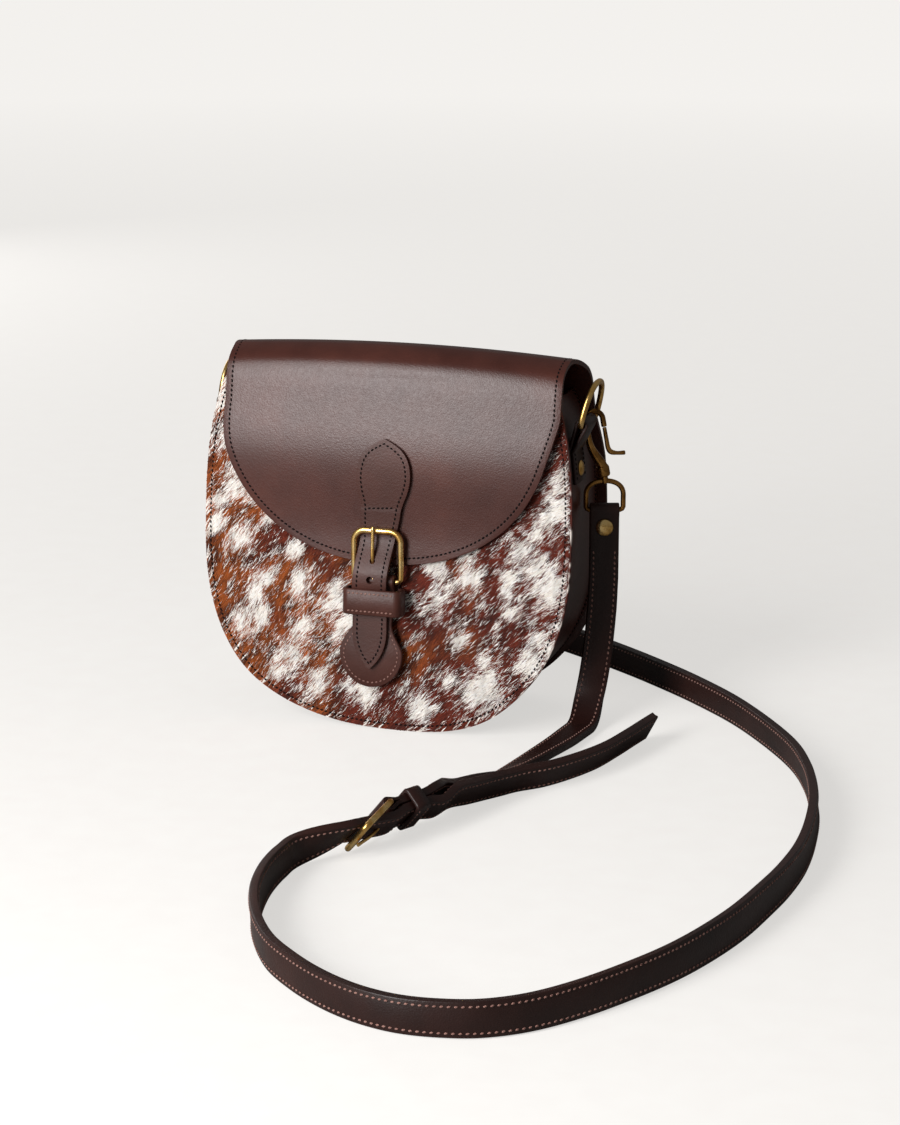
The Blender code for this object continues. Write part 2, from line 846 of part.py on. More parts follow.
def makeProng():
    """Prong that hooks round the heel bar, comes up through the billet and rests on the top."""
    reach = buckle_wire_radius + gap + prong_radius
    points = []
    for angle in (radians(value) for value in (215, 180, 140, 105, 75)):
        points.append((
            buckle_heel_height + reach * cos(angle), buckle_heel_lift + reach * sin(angle),
        ))
    under = billetLift(prong_slot_low) - billet_thickness / 2 - prong_radius - gap
    over = billetLift(prong_slot_high) + billet_thickness / 2 + prong_radius + gap
    rest = buckle_top_lift + buckle_wire_radius + prong_radius + gap
    points += [
        (prong_slot_low, under - gap),
        ((prong_slot_low + prong_slot_high) / 2, (under + over) / 2 + gap),
        (prong_slot_high - prong_radius, over + gap),
        (buckle_top_height - buckle_wire_radius, rest),
        (buckle_top_height + buckle_wire_radius * 2, rest),
    ]
    path = [frontPlace(prong_shift, up, out) for up, out in smoothCurve(points, 3)]
    tube("closure_prong", path, [prong_radius] * len(path), sideways, brass, closure_axis)


def makeKeeper():
    """Leather loop round the billet and the base tab."""
    half_out = (keeper_front_lift - keeper_back_lift) / 2
    middle = (keeper_front_lift + keeper_back_lift) / 2
    rings = []
    outer = roundedFrame(keeper_half_width, half_out, keeper_corner_radius)
    inside = keeper_corner_radius - keeper_thickness / 2
    inner = roundedFrame(keeper_half_width - keeper_thickness, half_out - keeper_thickness,
                         inside)
    for (x, w), (inner_x, inner_w) in zip(outer, inner):
        rings.append([
            frontPlace(keeper_shift + x, keeper_low_height, middle + w),
            frontPlace(keeper_shift + x, keeper_high_height, middle + w),
            frontPlace(keeper_shift + inner_x, keeper_high_height, middle + inner_w),
            frontPlace(keeper_shift + inner_x, keeper_low_height, middle + inner_w),
        ])
    loft("closure_keeper", rings, leather, closure_axis, True)


def makeSnap():
    across = closureMiddle(snap_height)
    place = frontPlace(across, snap_height, 0)
    stud_back = tab_lift - gap
    stud_front = stud_back - snap_disc_thickness
    profile = [
        (snap_nipple_tip_radius, stud_front - snap_nipple_length),
        (snap_nipple_radius, stud_front),
        (snap_disc_radius, stud_front),
        (snap_disc_radius, stud_back),
    ]
    turned("snap_stud", profile, place, front_out, steel, closure_axis)
    mouth = snap_nipple_radius + gap
    floor = -panel_thickness - gap - lining_thickness - gap
    socket = [
        (snap_shank_radius, floor), (snap_shank_radius, gap), (snap_disc_radius, gap),
        (snap_disc_radius, gap + snap_socket_thickness), (mouth, gap + snap_socket_thickness),
        (mouth, gap * 2),
    ]
    turned("snap_socket", socket, place, front_out, steel)
    washer_top = floor - gap
    washer = [
        (snap_washer_radius, washer_top - snap_washer_thickness),
        (snap_washer_radius, washer_top),
    ]
    turned("snap_washer", washer, place, front_out, steel)


# Rings, tabs and hooks on the gusset

def sideName(side):
    return "right" if side > 0 else "left"


def mirrored(place, side):
    return Vector((place.x * side, place.y, place.z))


def sided(side, right, left):
    return right if side > 0 else left


def barReach(side):
    """Distance of a ring's straight bar from the middle plane of the bag."""
    return gussetFace(ring_bar_height) + sided(side, ring_bar_standoff, left_bar_standoff)


def barShift(side):
    return sided(side, 0, left_ring_shift)


def makeRing(side, axis):
    lean = sided(side, ring_lean, left_ring_lean)
    up = Vector((sin(lean), 0, cos(lean)))
    along = Vector((0, 1, 0))
    foot = Vector((barReach(side), ring_middle + barShift(side), ring_bar_height))
    corner = ring_wire_radius * 2
    points = []
    steps = 16
    for step in range(steps + 1):
        angle = pi * step / steps
        reach = abs(cos(angle)) ** (2 / ring_roundness) * (1 if cos(angle) > 0 else -1)
        rise = sin(angle) ** (2 / ring_roundness)
        points.append((ring_half_width * reach, corner + (ring_height - corner) * rise))
    points += [
        (-ring_half_width + corner / 4, corner / 4), (-ring_half_width + corner, 0),
        (0, 0),
        (ring_half_width - corner, 0), (ring_half_width - corner / 4, corner / 4),
    ]
    path = [mirrored(foot + along * y + up * z, side) for y, z in points]
    plane = mirrored(along.cross(up), side)
    radii = [ring_wire_radius] * len(path)
    tube("d_ring_" + sideName(side), path, radii, plane, brass, axis, True)


def ringRivetFrame(side):
    """Place of a ring tab's rivet on the gusset's face and the direction out of that face."""
    height = ring_rivet_height
    place = Vector((gussetFace(height), ring_tab_middle + barShift(side), height))
    reach = ring_rivet_head_radius
    slope = (gussetFace(height + reach) - gussetFace(height - reach)) / (2 * reach)
    out = Vector((1, 0, -slope)).normalized()
    return mirrored(place, side), mirrored(out, side)


def ringRivetHole(name, side):
    place, out = ringRivetFrame(side)
    reach = barReach(side) - gussetFace(ring_bar_height)
    radius = ring_rivet_shank_radius + gap
    profile = [(radius, -reach), (radius, reach)]
    return turned(name, profile, place, out, guide, None, False, 12)


def makeRingTab(side):
    """Leather tab folded over the ring's bar and riveted to the gusset."""
    back = gap + tab_leather / 2
    front = back + tab_leather + gap
    fold = ring_wire_radius + gap + tab_leather / 2
    steps = 3
    points = []
    for step in range(steps + 1):
        height = ring_tab_low_height
        height += (ring_tab_leave_height - ring_tab_low_height) * step / steps
        points.append((gussetFace(height) + back, height))
    turns = 8
    for step in range(turns + 1):
        angle = pi - pi * step / turns
        points.append((
            barReach(side) + fold * cos(angle), ring_bar_height + fold * sin(angle),
        ))
    for step in range(steps + 1):
        height = ring_tab_leave_height
        height += (ring_tab_low_height - ring_tab_leave_height) * step / steps
        points.append((gussetFace(height) + front, height))
    middle = ring_tab_middle + barShift(side)
    path = [mirrored(Vector((x, middle, z)), side) for x, z in points]
    count = len(path)
    along = Vector((0, 1, 0))
    name = "ring_tab_" + sideName(side)
    tab = band(name, path, [along] * count, [ring_tab_width / 2] * count,
               [tab_leather] * count, leather)
    cutWith(tab, ringRivetHole(name + "_hole", side))
    place, out = ringRivetFrame(side)
    high = front + tab_leather / 2 + gap * 2
    low = -gusset_thickness - gap * 2
    profile = domeProfile(ring_rivet_shank_radius, ring_rivet_head_radius,
                          ring_rivet_head_height, low, high)
    turned(name + "_rivet", profile, place, out, brass)


def hookFrame(side):
    """Origin, outward and upward directions and normal of a hook, hung on its ring's bar."""
    turn = sided(side, hook_turn, left_hook_turn)
    tilt = sided(side, hook_tilt, left_hook_tilt)
    flat = Vector((cos(turn), sin(turn), 0))
    up = Vector((0, 0, 1)) * cos(tilt) - flat * sin(tilt)
    out = flat * cos(tilt) + Vector((0, 0, 1)) * sin(tilt)
    place = sided(side, hook_place, left_hook_place)
    origin = Vector((barReach(side), place, ring_bar_height))
    frame = [mirrored(v, side) for v in (origin, out, up)]
    return (*frame, frame[1].cross(frame[2]))


def makeHook(side, axis, lever_axis):
    origin, out, up, plane = hookFrame(side)
    bend = hook_mouth_radius + hook_wire_radius
    sink = hook_mouth_radius - ring_wire_radius - gap
    points = [(bend, -hook_nose_drop, hook_wire_radius), (bend, -sink, hook_wire_radius)]
    turns = 8
    for step in range(1, turns):
        angle = pi * step / turns
        points.append((bend * cos(angle), bend * sin(angle) - sink, hook_wire_radius))
    points += [
        (-bend, -sink, hook_wire_radius),
        (-bend, -hook_spine_drop * 0.5, hook_wire_radius * 1.1),
        (-bend * 0.95, -hook_spine_drop, hook_wire_radius * 1.3),
        (-bend * 0.55, -(hook_spine_drop + hook_collar_top) / 2, hook_trunk_radius * 0.85),
        (0, -hook_collar_top, hook_trunk_radius),
        (0, -hook_collar_top - gap, hook_collar_radius),
        (0, -hook_collar_end, hook_collar_radius),
    ]
    path = [origin + out * x + up * z for x, z, radius in points]
    radii = [radius for x, z, radius in points]
    tube("hook_body_" + sideName(side), path, radii, plane, brass, axis)
    gate_top = -hook_nose_drop - gap * 2
    gate = [
        (bend, gate_top), (bend, (gate_top - lever_pivot_drop) / 2),
        (lever_pivot_reach, -lever_pivot_drop + lever_radius * 2),
        (lever_pivot_reach + lever_radius, -lever_pivot_drop),
        ((lever_pivot_reach + lever_reach) / 2, -lever_pivot_drop - lever_radius),
        (lever_reach, -lever_tip_drop),
    ]
    path = [origin + out * x + up * z for x, z in smoothCurve(gate, 3)]
    tube("hook_lever_" + sideName(side), path, [lever_radius] * len(path), plane, brass,
         lever_axis, False, 8)


def eyeFrame(side):
    """Top of the swivel eye below the hook's collar, its outward direction and its normal."""
    origin, out, up, plane = hookFrame(side)
    top = origin - up * (hook_collar_end + gap + eye_post_rise)
    flat = Vector((out.x, out.y, 0)).normalized()
    return top, flat, flat.cross(Vector((0, 0, 1)))


def makeEye(side):
    top, out, plane = eyeFrame(side)
    up = Vector((0, 0, 1))
    points = []
    turns = 14
    rise = eye_height / 2
    for step in range(turns + 1):
        angle = pi * step / turns
        reach = abs(cos(angle)) ** (2 / ring_roundness) * (1 if cos(angle) > 0 else -1)
        points.append((
            eye_half_width * reach,
            rise - eye_height + rise * sin(angle) ** (2 / ring_roundness),
        ))
    corner = eye_wire_radius * 1.1
    points += [
        (-eye_half_width, -eye_height + corner),
        (-eye_half_width + corner / 3, -eye_height + corner / 3),
        (-eye_half_width + corner, -eye_height),
        (0, -eye_height),
        (eye_half_width - corner, -eye_height),
        (eye_half_width - corner / 3, -eye_height + corner / 3),
        (eye_half_width, -eye_height + corner),
    ]
    path = [top + out * x + up * z for x, z in points]
    eye = tube("hook_eye_" + sideName(side), path, [eye_wire_radius] * len(path), plane,
               brass, None, True)
    axis = hookFrame(side)[2]
    post = [(eye_post_radius, -eye_wire_radius), (eye_post_radius, eye_post_rise)]
    boss = turned("hook_post_" + sideName(side), post, top, axis, guide, None, False, 12)
    cutWith(eye, boss)
    eye.modifiers[-1].operation = "UNION"


# Shoulder strap

def eyeBar(side):
    top, out, plane = eyeFrame(side)
    return top - Vector((0, 0, eye_height)), out


strap_thickness = strap_layer * 2 + strap_layer_gap
layer_offset = (strap_layer + strap_layer_gap) / 2


def hangRows(side):
    """Rows of a strap end from its turned-back layer, round the eye's bar, down to the join."""
    bar, out = eyeBar(side)
    across = Vector((out.x, out.y, 0)).normalized()
    face = across.cross(Vector((0, 0, 1))).normalized()
    if face.y > 0:
        face = -face
    fold = eye_wire_radius + gap + strap_layer / 2
    down = Vector((0, 0, -1))
    rows = []
    for drop in (strap_fold_length, strap_fold_length * 0.6, fold * 1.8):
        rows.append((bar + down * drop - face * layer_offset, across, strap_layer))
    turns = 8
    for step in range(turns + 1):
        angle = pi * step / turns
        around = face * (-cos(angle)) - down * sin(angle)
        rows.append((bar + around * fold, across, strap_layer))
    for drop in (fold * 1.8, strap_fold_length * 0.6, strap_fold_length):
        rows.append((bar + down * drop + face * layer_offset, across, strap_layer))
    join = strap_fold_length + strap_layer
    rows.append((bar + down * join, across, strap_thickness))
    return rows, bar, across, face


def floorRow(shares, following, previous):
    """Middle, direction across and thickness of the strap standing or lying on the ground."""
    x, y, lift, lean = shares
    foot = Vector((x, y, 0)) * route_length
    run = Vector((following[0] - previous[0], following[1] - previous[1], 0)).normalized()
    right = Vector((run.y, -run.x, 0))
    angle = radians(lean)
    across = Vector((0, 0, 1)) * cos(angle) + right * sin(angle)
    rise = lift * route_length + strap_thickness / 2 * abs(sin(angle)) + gap
    middle = foot + across * strap_width / 2 + Vector((0, 0, rise))
    return middle, across, strap_thickness


def floorRows(table):
    rows = []
    for index, shares in enumerate(table):
        following = table[min(index + 1, len(table) - 1)]
        previous = table[max(index - 1, 0)]
        rows.append(floorRow(shares, following, previous))
    return rows


def linkPlace(run, across, out):
    """A point of the strap buckle's frame: along it, across the strap and out of its plane."""
    middle = Vector(link_place_shares) * route_length
    return middle + link_along * run + link_side * across + link_out * out


def stackPlace(run, across, out):
    """A point on the straps past the heel bar: along them, across and out of their faces."""
    heel = linkPlace(link_half_length, 0, 0)
    return heel + stack_along * run + link_side * across + stack_out * out


link_along = Vector(link_run).normalized()
link_side = Vector(link_across)
link_side = (link_side - link_along * link_side.dot(link_along)).normalized()
link_out = link_along.cross(link_side)
stack_along = link_along * cos(link_pitch) + link_out * sin(link_pitch)
stack_out = link_out * cos(link_pitch) - link_along * sin(link_pitch)
link_fold = link_wire_radius + gap + strap_layer / 2
billet_over = link_fold + strap_layer / 2 + gap + strap_thickness / 2
billet_under = link_wire_radius + gap * 2 + strap_thickness / 2
billet_under *= (1 + (billet_over / link_half_length / 2) ** 2) * link_pitch_share
billet_beside = strap_thickness + gap * 2


def smoothRows(rows, steps):
    """Strap rows on a smooth curve through the given ones."""
    flat = [(*place, *across, thickness) for place, across, thickness in rows]
    result = []
    for values in smoothCurve(flat, steps):
        result.append((Vector(values[:3]), Vector(values[3:6]), values[6]))
    return result


def aboveGround(path, rows):
    """The strap's path with every row lifted that would reach below the ground."""
    lifted = []
    for place, along, row in zip(path, directions(path), rows):
        across = (row[1] - along * row[1].dot(along)).normalized()
        out = along.cross(across)
        reach = abs(across.z) * strap_width / 2 + abs(out.z) * row[2] / 2 + gap
        lifted.append(Vector((place.x, place.y, max(place.z, reach))))
    return lifted


def makeStrapPiece(name, rows, material):
    path = aboveGround(aboveGround([row[0] for row in rows], rows), rows)
    return band(name, path, [row[1] for row in rows], [strap_width / 2] * len(rows),
                [row[2] for row in rows], material)


def makeLongStrap():
    hang, bar, across, face = hangRows(-1)
    down = Vector((0, 0, -1))
    inward = -across if across.x < 0 else across
    hang = [(place, inward, thickness) for place, _, thickness in hang]
    low = bar + down * strap_hang_height
    swing = [
        (bar + down * strap_hang_height * 0.4, inward, strap_thickness),
        (bar + down * strap_hang_height * 0.7 + inward * strap_thickness * 0.5
         + face * -strap_thickness * 0.5, inward, strap_thickness),
        (low + inward * strap_thickness * 1.6 - face * strap_thickness * 1.6, inward,
         strap_thickness),
        (low + down * strap_width * 0.7 + inward * strap_thickness * 2.2
         - face * strap_thickness * 3.6, inward, strap_thickness),
    ]
    ground = floorRows(long_floor_shares)
    under = linkPlace(-link_half_length, 0, -billet_under - gap)
    over = stackPlace(0, 0, billet_over + gap)
    step = link_fold
    thread = [
        (under - (over - under).normalized() * step, link_side, strap_thickness),
        (under + (over - under).normalized() * step, link_side, strap_thickness),
        ((under + over) / 2, link_side, strap_thickness),
        (over, link_side, strap_thickness),
        (stackPlace(step * 2.8, 0, billet_beside), link_side, strap_thickness),
        (stackPlace(loop_distance, 0, billet_beside), link_side, strap_thickness),
        (stackPlace(loop_run, 0, billet_beside), link_side, strap_thickness),
        (stackPlace(loop_run * 2 - loop_distance, 0, billet_beside + loop_spread), link_side,
         strap_thickness),
    ]
    tail = floorRows(tail_floor_shares)
    rows = hang + smoothRows(swing + ground + thread + tail, curve_steps)
    strap = makeStrapPiece("strap_long", rows, leather)
    cutWith(strap, strapRivetHole("strap_long_rivet_hole", -1))
    slot = strap_thickness * 1.3
    place = over + (under - over) * slot / (under - over).length * 1.4
    cutWith(strap, linkBox("strap_long_prong_slot", place, link_along, link_out, slot, slot))


def makeShortStrap():
    hang, bar, across, face = hangRows(1)
    down = Vector((0, 0, -1))
    low = bar + down * strap_hang_height
    swing = [
        (bar + down * strap_hang_height * 0.4, across, strap_thickness),
        (bar + down * strap_hang_height * 0.7 - across * strap_thickness * 0.3, across,
         strap_thickness),
        (low - across * strap_thickness * 1.1 + face * strap_thickness * 0.2, across,
         strap_thickness),
        (low + down * strap_width * 0.7 - across * strap_thickness * 1.8
         + face * strap_thickness, across, strap_thickness),
    ]
    ground = floorRows(short_floor_shares)
    chape = [
        (stackPlace(loop_run * 2 - loop_distance, 0, -loop_spread), link_side,
         strap_thickness),
        (stackPlace(loop_run, 0, 0), link_side, strap_thickness),
        (stackPlace(loop_distance, 0, 0), link_side, strap_thickness),
        (stackPlace(link_fold * 3.0, 0, 0), link_side, strap_thickness),
    ]
    rows = hang + smoothRows(swing + ground + chape, curve_steps)
    for run in (link_fold * 2.7, link_fold * 1.8):
        rows.append((stackPlace(run, 0, -layer_offset), link_side, strap_layer))
    turns = 8
    for step in range(turns + 1):
        angle = pi * step / turns
        place = stackPlace(-link_fold * sin(angle), 0, -link_fold * cos(angle))
        rows.append((place, link_side, strap_layer))
    for run in (link_fold * 1.8, link_fold * 2.7):
        rows.append((stackPlace(run, 0, layer_offset), link_side, strap_layer))
    strap = makeStrapPiece("strap_short", rows, leather)
    cutWith(strap, strapRivetHole("strap_short_rivet_hole", 1))
    cutWith(strap, linkBox("strap_short_prong_slot", stackPlace(0, 0, 0), stack_along,
                           stack_out, link_fold * 1.7, link_fold * 1.7))


def linkBox(name, place, along, out, half_along, half_out):
    """A box guide for a slot that the strap buckle's prong goes through."""
    half_across = link_slot_width / 2
    rings = []
    for end in (-half_out, half_out):
        rings.append([
            place + along * run * half_along + link_side * across * half_across + out * end
            for run, across in ((1, 1), (-1, 1), (-1, -1), (1, -1))
        ])
    return loft(name, rings, guide)


def strapRivetPlace(side):
    """Middle of a strap end's rivet and the direction out of the strap's face."""
    rows, bar, across, face = hangRows(side)
    return bar - Vector((0, 0, strap_rivet_drop)), face


def strapRivetHole(name, side):
    place, face = strapRivetPlace(side)
    radius = strap_rivet_shank_radius + gap
    profile = [(radius, -strap_thickness), (radius, strap_thickness)]
    return turned(name, profile, place, face, guide, None, False, 12)


def makeStrapRivet(side):
    place, face = strapRivetPlace(side)
    high = strap_thickness / 2 + gap
    profile = domeProfile(strap_rivet_shank_radius, strap_rivet_head_radius,
                          strap_rivet_head_height, -high, high)
    turned("strap_rivet_" + sideName(side), profile, place, face, brass)


def makeLinkProng():
    """Prong that hooks round the heel bar, through the strap, and rests on the far bar."""
    reach = link_wire_radius + gap + link_prong_radius
    rest = reach + gap
    over = (billet_over - billet_under) / 2 + strap_thickness / 2 + reach / 2
    points = []
    for angle in (radians(value) for value in (300, 345, 30, 75, 115, 150)):
        points.append((link_half_length + reach * cos(angle), reach * sin(angle)))
    points += [
        (link_half_length - reach * 1.6, reach * 0.50),
        (link_half_length / 3, reach * 1.25),
        (link_prong_radius, over),
        (-link_half_length / 2, over - gap),
        (-link_half_length, rest),
        (-link_half_length - reach, rest - gap),
    ]
    path = [linkPlace(run, 0, out) for run, out in smoothCurve(points, 3)]
    tube("strap_buckle_prong", path, [link_prong_radius] * len(path), link_side, brass, None,
         False, 8)


def makeStrapKeeper(axis):
    """Leather loop that holds the strap's tail against the short strap."""
    half_across = strap_width / 2 + loop_slack + loop_thickness
    half_out = strap_thickness + loop_slack + loop_thickness
    corner = loop_thickness * 1.6
    rings = []
    outer = roundedFrame(half_across, half_out, corner)
    inner = roundedFrame(half_across - loop_thickness, half_out - loop_thickness,
                         corner - loop_thickness / 2)
    near = loop_distance - loop_width / 2
    far = loop_distance + loop_width / 2
    middle = billet_beside / 2
    for (x, w), (inner_x, inner_w) in zip(outer, inner):
        rings.append([
            stackPlace(near, x, middle + w), stackPlace(far, x, middle + w),
            stackPlace(far, inner_x, middle + inner_w),
            stackPlace(near, inner_x, middle + inner_w),
        ])
    loft("strap_keeper", rings, leather, axis, True)


def makeLinkFrame():
    path = []
    corners = roundedFrame(link_half_width, link_half_length, link_corner_radius)
    for across, run in corners:
        path.append(linkPlace(run, across, 0))
    tube("strap_buckle_frame", path, [link_wire_radius] * len(path), link_out, brass, None,
         True)


clearScene()
leather = makeMaterial("chocolate leather", (0.055, 0.030, 0.028), 0.42, 0)
hide = makeMaterial("hair-on hide", (0.42, 0.22, 0.12), 0.85, 0)
suede = makeMaterial("lining suede", (0.10, 0.06, 0.05), 0.9, 0)
brass = makeMaterial("antique brass", (0.55, 0.34, 0.10), 0.28, 1)
steel = makeMaterial("nickelled steel", (0.55, 0.53, 0.50), 0.3, 1)
guide = makeMaterial("guide", (0.2, 0.6, 0.8), 0.5, 0)
front_line_depth = frontPlace(0, flap_widest_height, 0).y

flap_axis = makeAxis("flap_hinge_axis", hinge_place)
closure_axis = makeAxis(
    "closure_lift_axis",
    frontPlace(0, leaf_seam_height + gap / 2, leaf_lift + leaf_thickness / 2), flap_axis,
)
makeFrontPanel()
makeFrontLining()
makeBackPanel()
makeBackLining()
makeGusset()
makeFlap()
makeLeaf()
makeBillet()
makeBaseTab()
makeBuckle()
makeProng()
makeKeeper()
makeSnap()
for side in (1, -1):
    origin, out, up, plane = hookFrame(side)
    bar_place = mirrored(Vector((barReach(side), ring_middle, ring_bar_height)), side)
    ring_axis = makeAxis("d_ring_axis_" + sideName(side), bar_place)
    hook_axis = makeAxis("hook_swivel_axis_" + sideName(side), origin)
    lever_place = origin + out * lever_pivot_reach - up * lever_pivot_drop
    lever_axis = makeAxis("hook_lever_axis_" + sideName(side), lever_place, hook_axis)
    makeRing(side, ring_axis)
    makeRingTab(side)
    makeHook(side, hook_axis, lever_axis)
    makeEye(side)
    makeStrapRivet(side)
makeLongStrap()
makeShortStrap()
makeLinkFrame()
makeLinkProng()
makeStrapKeeper(makeAxis("strap_keeper_axis", stackPlace(loop_distance, 0, 0)))
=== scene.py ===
import json
from math import cos, pi, radians, sin, tan
import bmesh
import bpy
import numpy as np
from mathutils import Matrix, Vector, noise

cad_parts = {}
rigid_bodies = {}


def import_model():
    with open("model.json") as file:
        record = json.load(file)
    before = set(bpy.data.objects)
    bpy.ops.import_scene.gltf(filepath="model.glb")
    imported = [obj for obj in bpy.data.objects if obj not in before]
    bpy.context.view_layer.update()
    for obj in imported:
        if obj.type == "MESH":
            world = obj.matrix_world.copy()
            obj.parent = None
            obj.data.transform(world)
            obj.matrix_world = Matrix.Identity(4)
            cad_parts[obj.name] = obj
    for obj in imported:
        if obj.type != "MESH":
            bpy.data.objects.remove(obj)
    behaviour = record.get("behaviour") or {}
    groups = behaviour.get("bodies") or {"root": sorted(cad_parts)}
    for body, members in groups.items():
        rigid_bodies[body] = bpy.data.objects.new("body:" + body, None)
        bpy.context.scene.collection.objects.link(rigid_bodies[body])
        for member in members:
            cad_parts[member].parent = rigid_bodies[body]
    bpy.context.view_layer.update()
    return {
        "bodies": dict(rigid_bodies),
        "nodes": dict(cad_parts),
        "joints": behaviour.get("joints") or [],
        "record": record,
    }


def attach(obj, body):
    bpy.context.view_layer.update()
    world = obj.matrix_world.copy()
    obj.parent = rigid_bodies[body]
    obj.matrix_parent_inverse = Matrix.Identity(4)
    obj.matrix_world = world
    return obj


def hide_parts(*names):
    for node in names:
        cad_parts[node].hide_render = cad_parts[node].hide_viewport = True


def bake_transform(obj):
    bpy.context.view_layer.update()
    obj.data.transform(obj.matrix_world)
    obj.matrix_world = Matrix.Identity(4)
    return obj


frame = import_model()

# Small saddle bag with a hair-on front, a rolled flap and a long shoulder strap.
# Metres, +Z up, the front faces -Y, the origin is the middle of the base.

bag = dict(
    depth=0.0910, frontLean=radians(4.4), backLean=radians(3.3), panelThickness=0.0030,
    halfWidth=0.1044, widestHeight=0.1080, height=0.1920, topTaper=0.0118, taperPower=2.8,
    footShift=0.0085, footHeight=0.0310, roundness=2.5,
)
gap = 0.0003
mergeDistance = 0.000001
# radius at which a turned profile closes
poleRadius = 0.0001


# Mesh helpers

def deselectAll():
    if bpy.context.mode != "OBJECT":
        bpy.ops.object.mode_set(mode="OBJECT")
    bpy.ops.object.select_all(action="DESELECT")


def makeActive(piece):
    deselectAll()
    piece.select_set(True)
    bpy.context.view_layer.objects.active = piece


def editAll(piece):
    # opens a piece in edit mode with everything selected
    makeActive(piece)
    bpy.ops.object.mode_set(mode="EDIT")
    bpy.ops.mesh.select_all(action="SELECT")


def applyModifier(piece, kind, **values):
    makeActive(piece)
    change = piece.modifiers.new(kind.lower(), kind)
    for key, value in values.items():
        setattr(change, key, value)
    bpy.ops.object.modifier_apply(modifier=change.name)


def meshFromRows(name, rows, around=False, loop=False, angle=None):
    # a grid primitive whose points are moved to the given rows of places
    columns = len(rows[0]) - (0 if around else 1)
    steps = len(rows) - (0 if loop else 1)
    deselectAll()
    bpy.ops.mesh.primitive_grid_add(x_subdivisions=columns, y_subdivisions=steps, size=1)
    piece = bpy.context.object
    piece.name = name
    piece.data.name = name
    spots = []
    for step in range(steps + 1):
        row = rows[step % len(rows)]
        for column in range(columns + 1):
            spots.extend(row[column % len(row)])
    piece.data.vertices.foreach_set("co", spots)
    piece.data.update()
    if around or loop:
        editAll(piece)
        bpy.ops.mesh.remove_doubles(threshold=mergeDistance)
        if not loop:
            bpy.ops.mesh.fill_holes(sides=0)
        bpy.ops.mesh.normals_make_consistent(inside=False)
        bpy.ops.object.mode_set(mode="OBJECT")
    if angle:
        smooth(piece, angle)
    return piece


def turnOver(piece):
    editAll(piece)
    bpy.ops.mesh.flip_normals()
    bpy.ops.object.mode_set(mode="OBJECT")


def faceTowards(piece, direction):
    # turns an open sheet over if its faces point away from the direction
    total = sum((face.normal * face.area for face in piece.data.polygons), Vector())
    if total.dot(direction) < 0:
        turnOver(piece)


def smooth(piece, angle=40):
    makeActive(piece)
    bpy.ops.object.shade_smooth_by_angle(angle=radians(angle))


def finish(piece, bodyName, materials, nodes=()):
    piece.data.materials.clear()
    for material in materials:
        piece.data.materials.append(material)
    if nodes:
        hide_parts(*nodes)
    if isinstance(bodyName, str):
        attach(piece, bodyName)
    else:
        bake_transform(piece)


def thicken(piece, thickness, edge=0.0005, segments=2, edgeSlot=-1):
    # gives a sheet its leather thickness inward, with a painted, rounded edge
    applyModifier(piece, "SOLIDIFY", thickness=thickness, offset=-1, use_even_offset=True,
                  use_rim=True, material_offset_rim=1)
    if edge:
        applyModifier(piece, "BEVEL", width=edge, segments=segments, limit_method="ANGLE",
                      angle_limit=radians(50), material=edgeSlot, use_clamp_overlap=True)
    smooth(piece)


def smoothCurve(points, steps):
    # a smooth curve through the given points, whatever their number of columns
    last = len(points) - 1
    result = []
    for row in range(last):
        four = [points[min(max(row + shift, 0), last)] for shift in (-1, 0, 1, 2)]
        for step in range(steps):
            t = step / steps
            weights = (
                (-t ** 3 + 2 * t ** 2 - t) / 2, (3 * t ** 3 - 5 * t ** 2 + 2) / 2,
                (-3 * t ** 3 + 4 * t ** 2 + t) / 2, (t ** 3 - t ** 2) / 2,
            )
            result.append(tuple(sum(w * v for w, v in zip(weights, c)) for c in zip(*four)))
    result.append(tuple(points[-1]))
    return result


def directions(points, closed=False):
    count = len(points)
    result = []
    for row in range(count):
        after = (row + 1) % count if closed else min(row + 1, count - 1)
        before = row - 1 if closed else max(row - 1, 0)
        result.append((points[after] - points[before]).normalized())
    return result


def spread(first, last, steps):
    # evenly spaced figures, both ends included
    return [first + (last - first) * step / steps for step in range(steps + 1)]


def arc(start, end, steps):
    # evenly spaced angles, given in degrees and returned in radians
    return [radians(angle) for angle in spread(start, end, steps)]


def smoothShare(value, low, high):
    share = min(max((value - low) / (high - low), 0), 1)
    return share * share * (3 - 2 * share)


def between(first, last, value, low, high):
    # goes softly from the first figure to the last while the value goes from low to high
    return first + (last - first) * smoothShare(value, low, high)


def spreadAlong(points, spacing):
    # places at an even spacing along a line, each with its direction
    spots = []
    travelled = spacing / 2
    for start, end in zip(points, points[1:]):
        step = end - start
        length = step.length
        while travelled < length:
            spots.append((start + step * travelled / length, step.normalized()))
            travelled += spacing
        travelled -= length
    return spots


def circle(centre, side, other, sides):
    turns = [2 * pi * step / sides for step in range(sides)]
    return [centre + side * cos(a) + other * sin(a) for a in turns]


def wire(name, path, radii, plane, closed=False, sides=20, flat=1.0):
    # a round or slightly flattened metal wire along a path that lies in one plane
    rows = []
    for place, along, radius in zip(path, directions(path, closed), radii):
        side = along.cross(plane).normalized()
        rows.append(circle(place, side * radius, plane * flat * radius, sides))
    return meshFromRows(name, rows, around=True, loop=closed, angle=60)


def turned(name, profile, place, up, sides=40):
    # a lathe-turned piece from pairs of radius and height
    side = up.orthogonal().normalized()
    other = up.cross(side).normalized()
    rows = [circle(place + up * height, side * radius, other * radius, sides)
            for radius, height in profile]
    return meshFromRows(name, rows, around=True, angle=35)


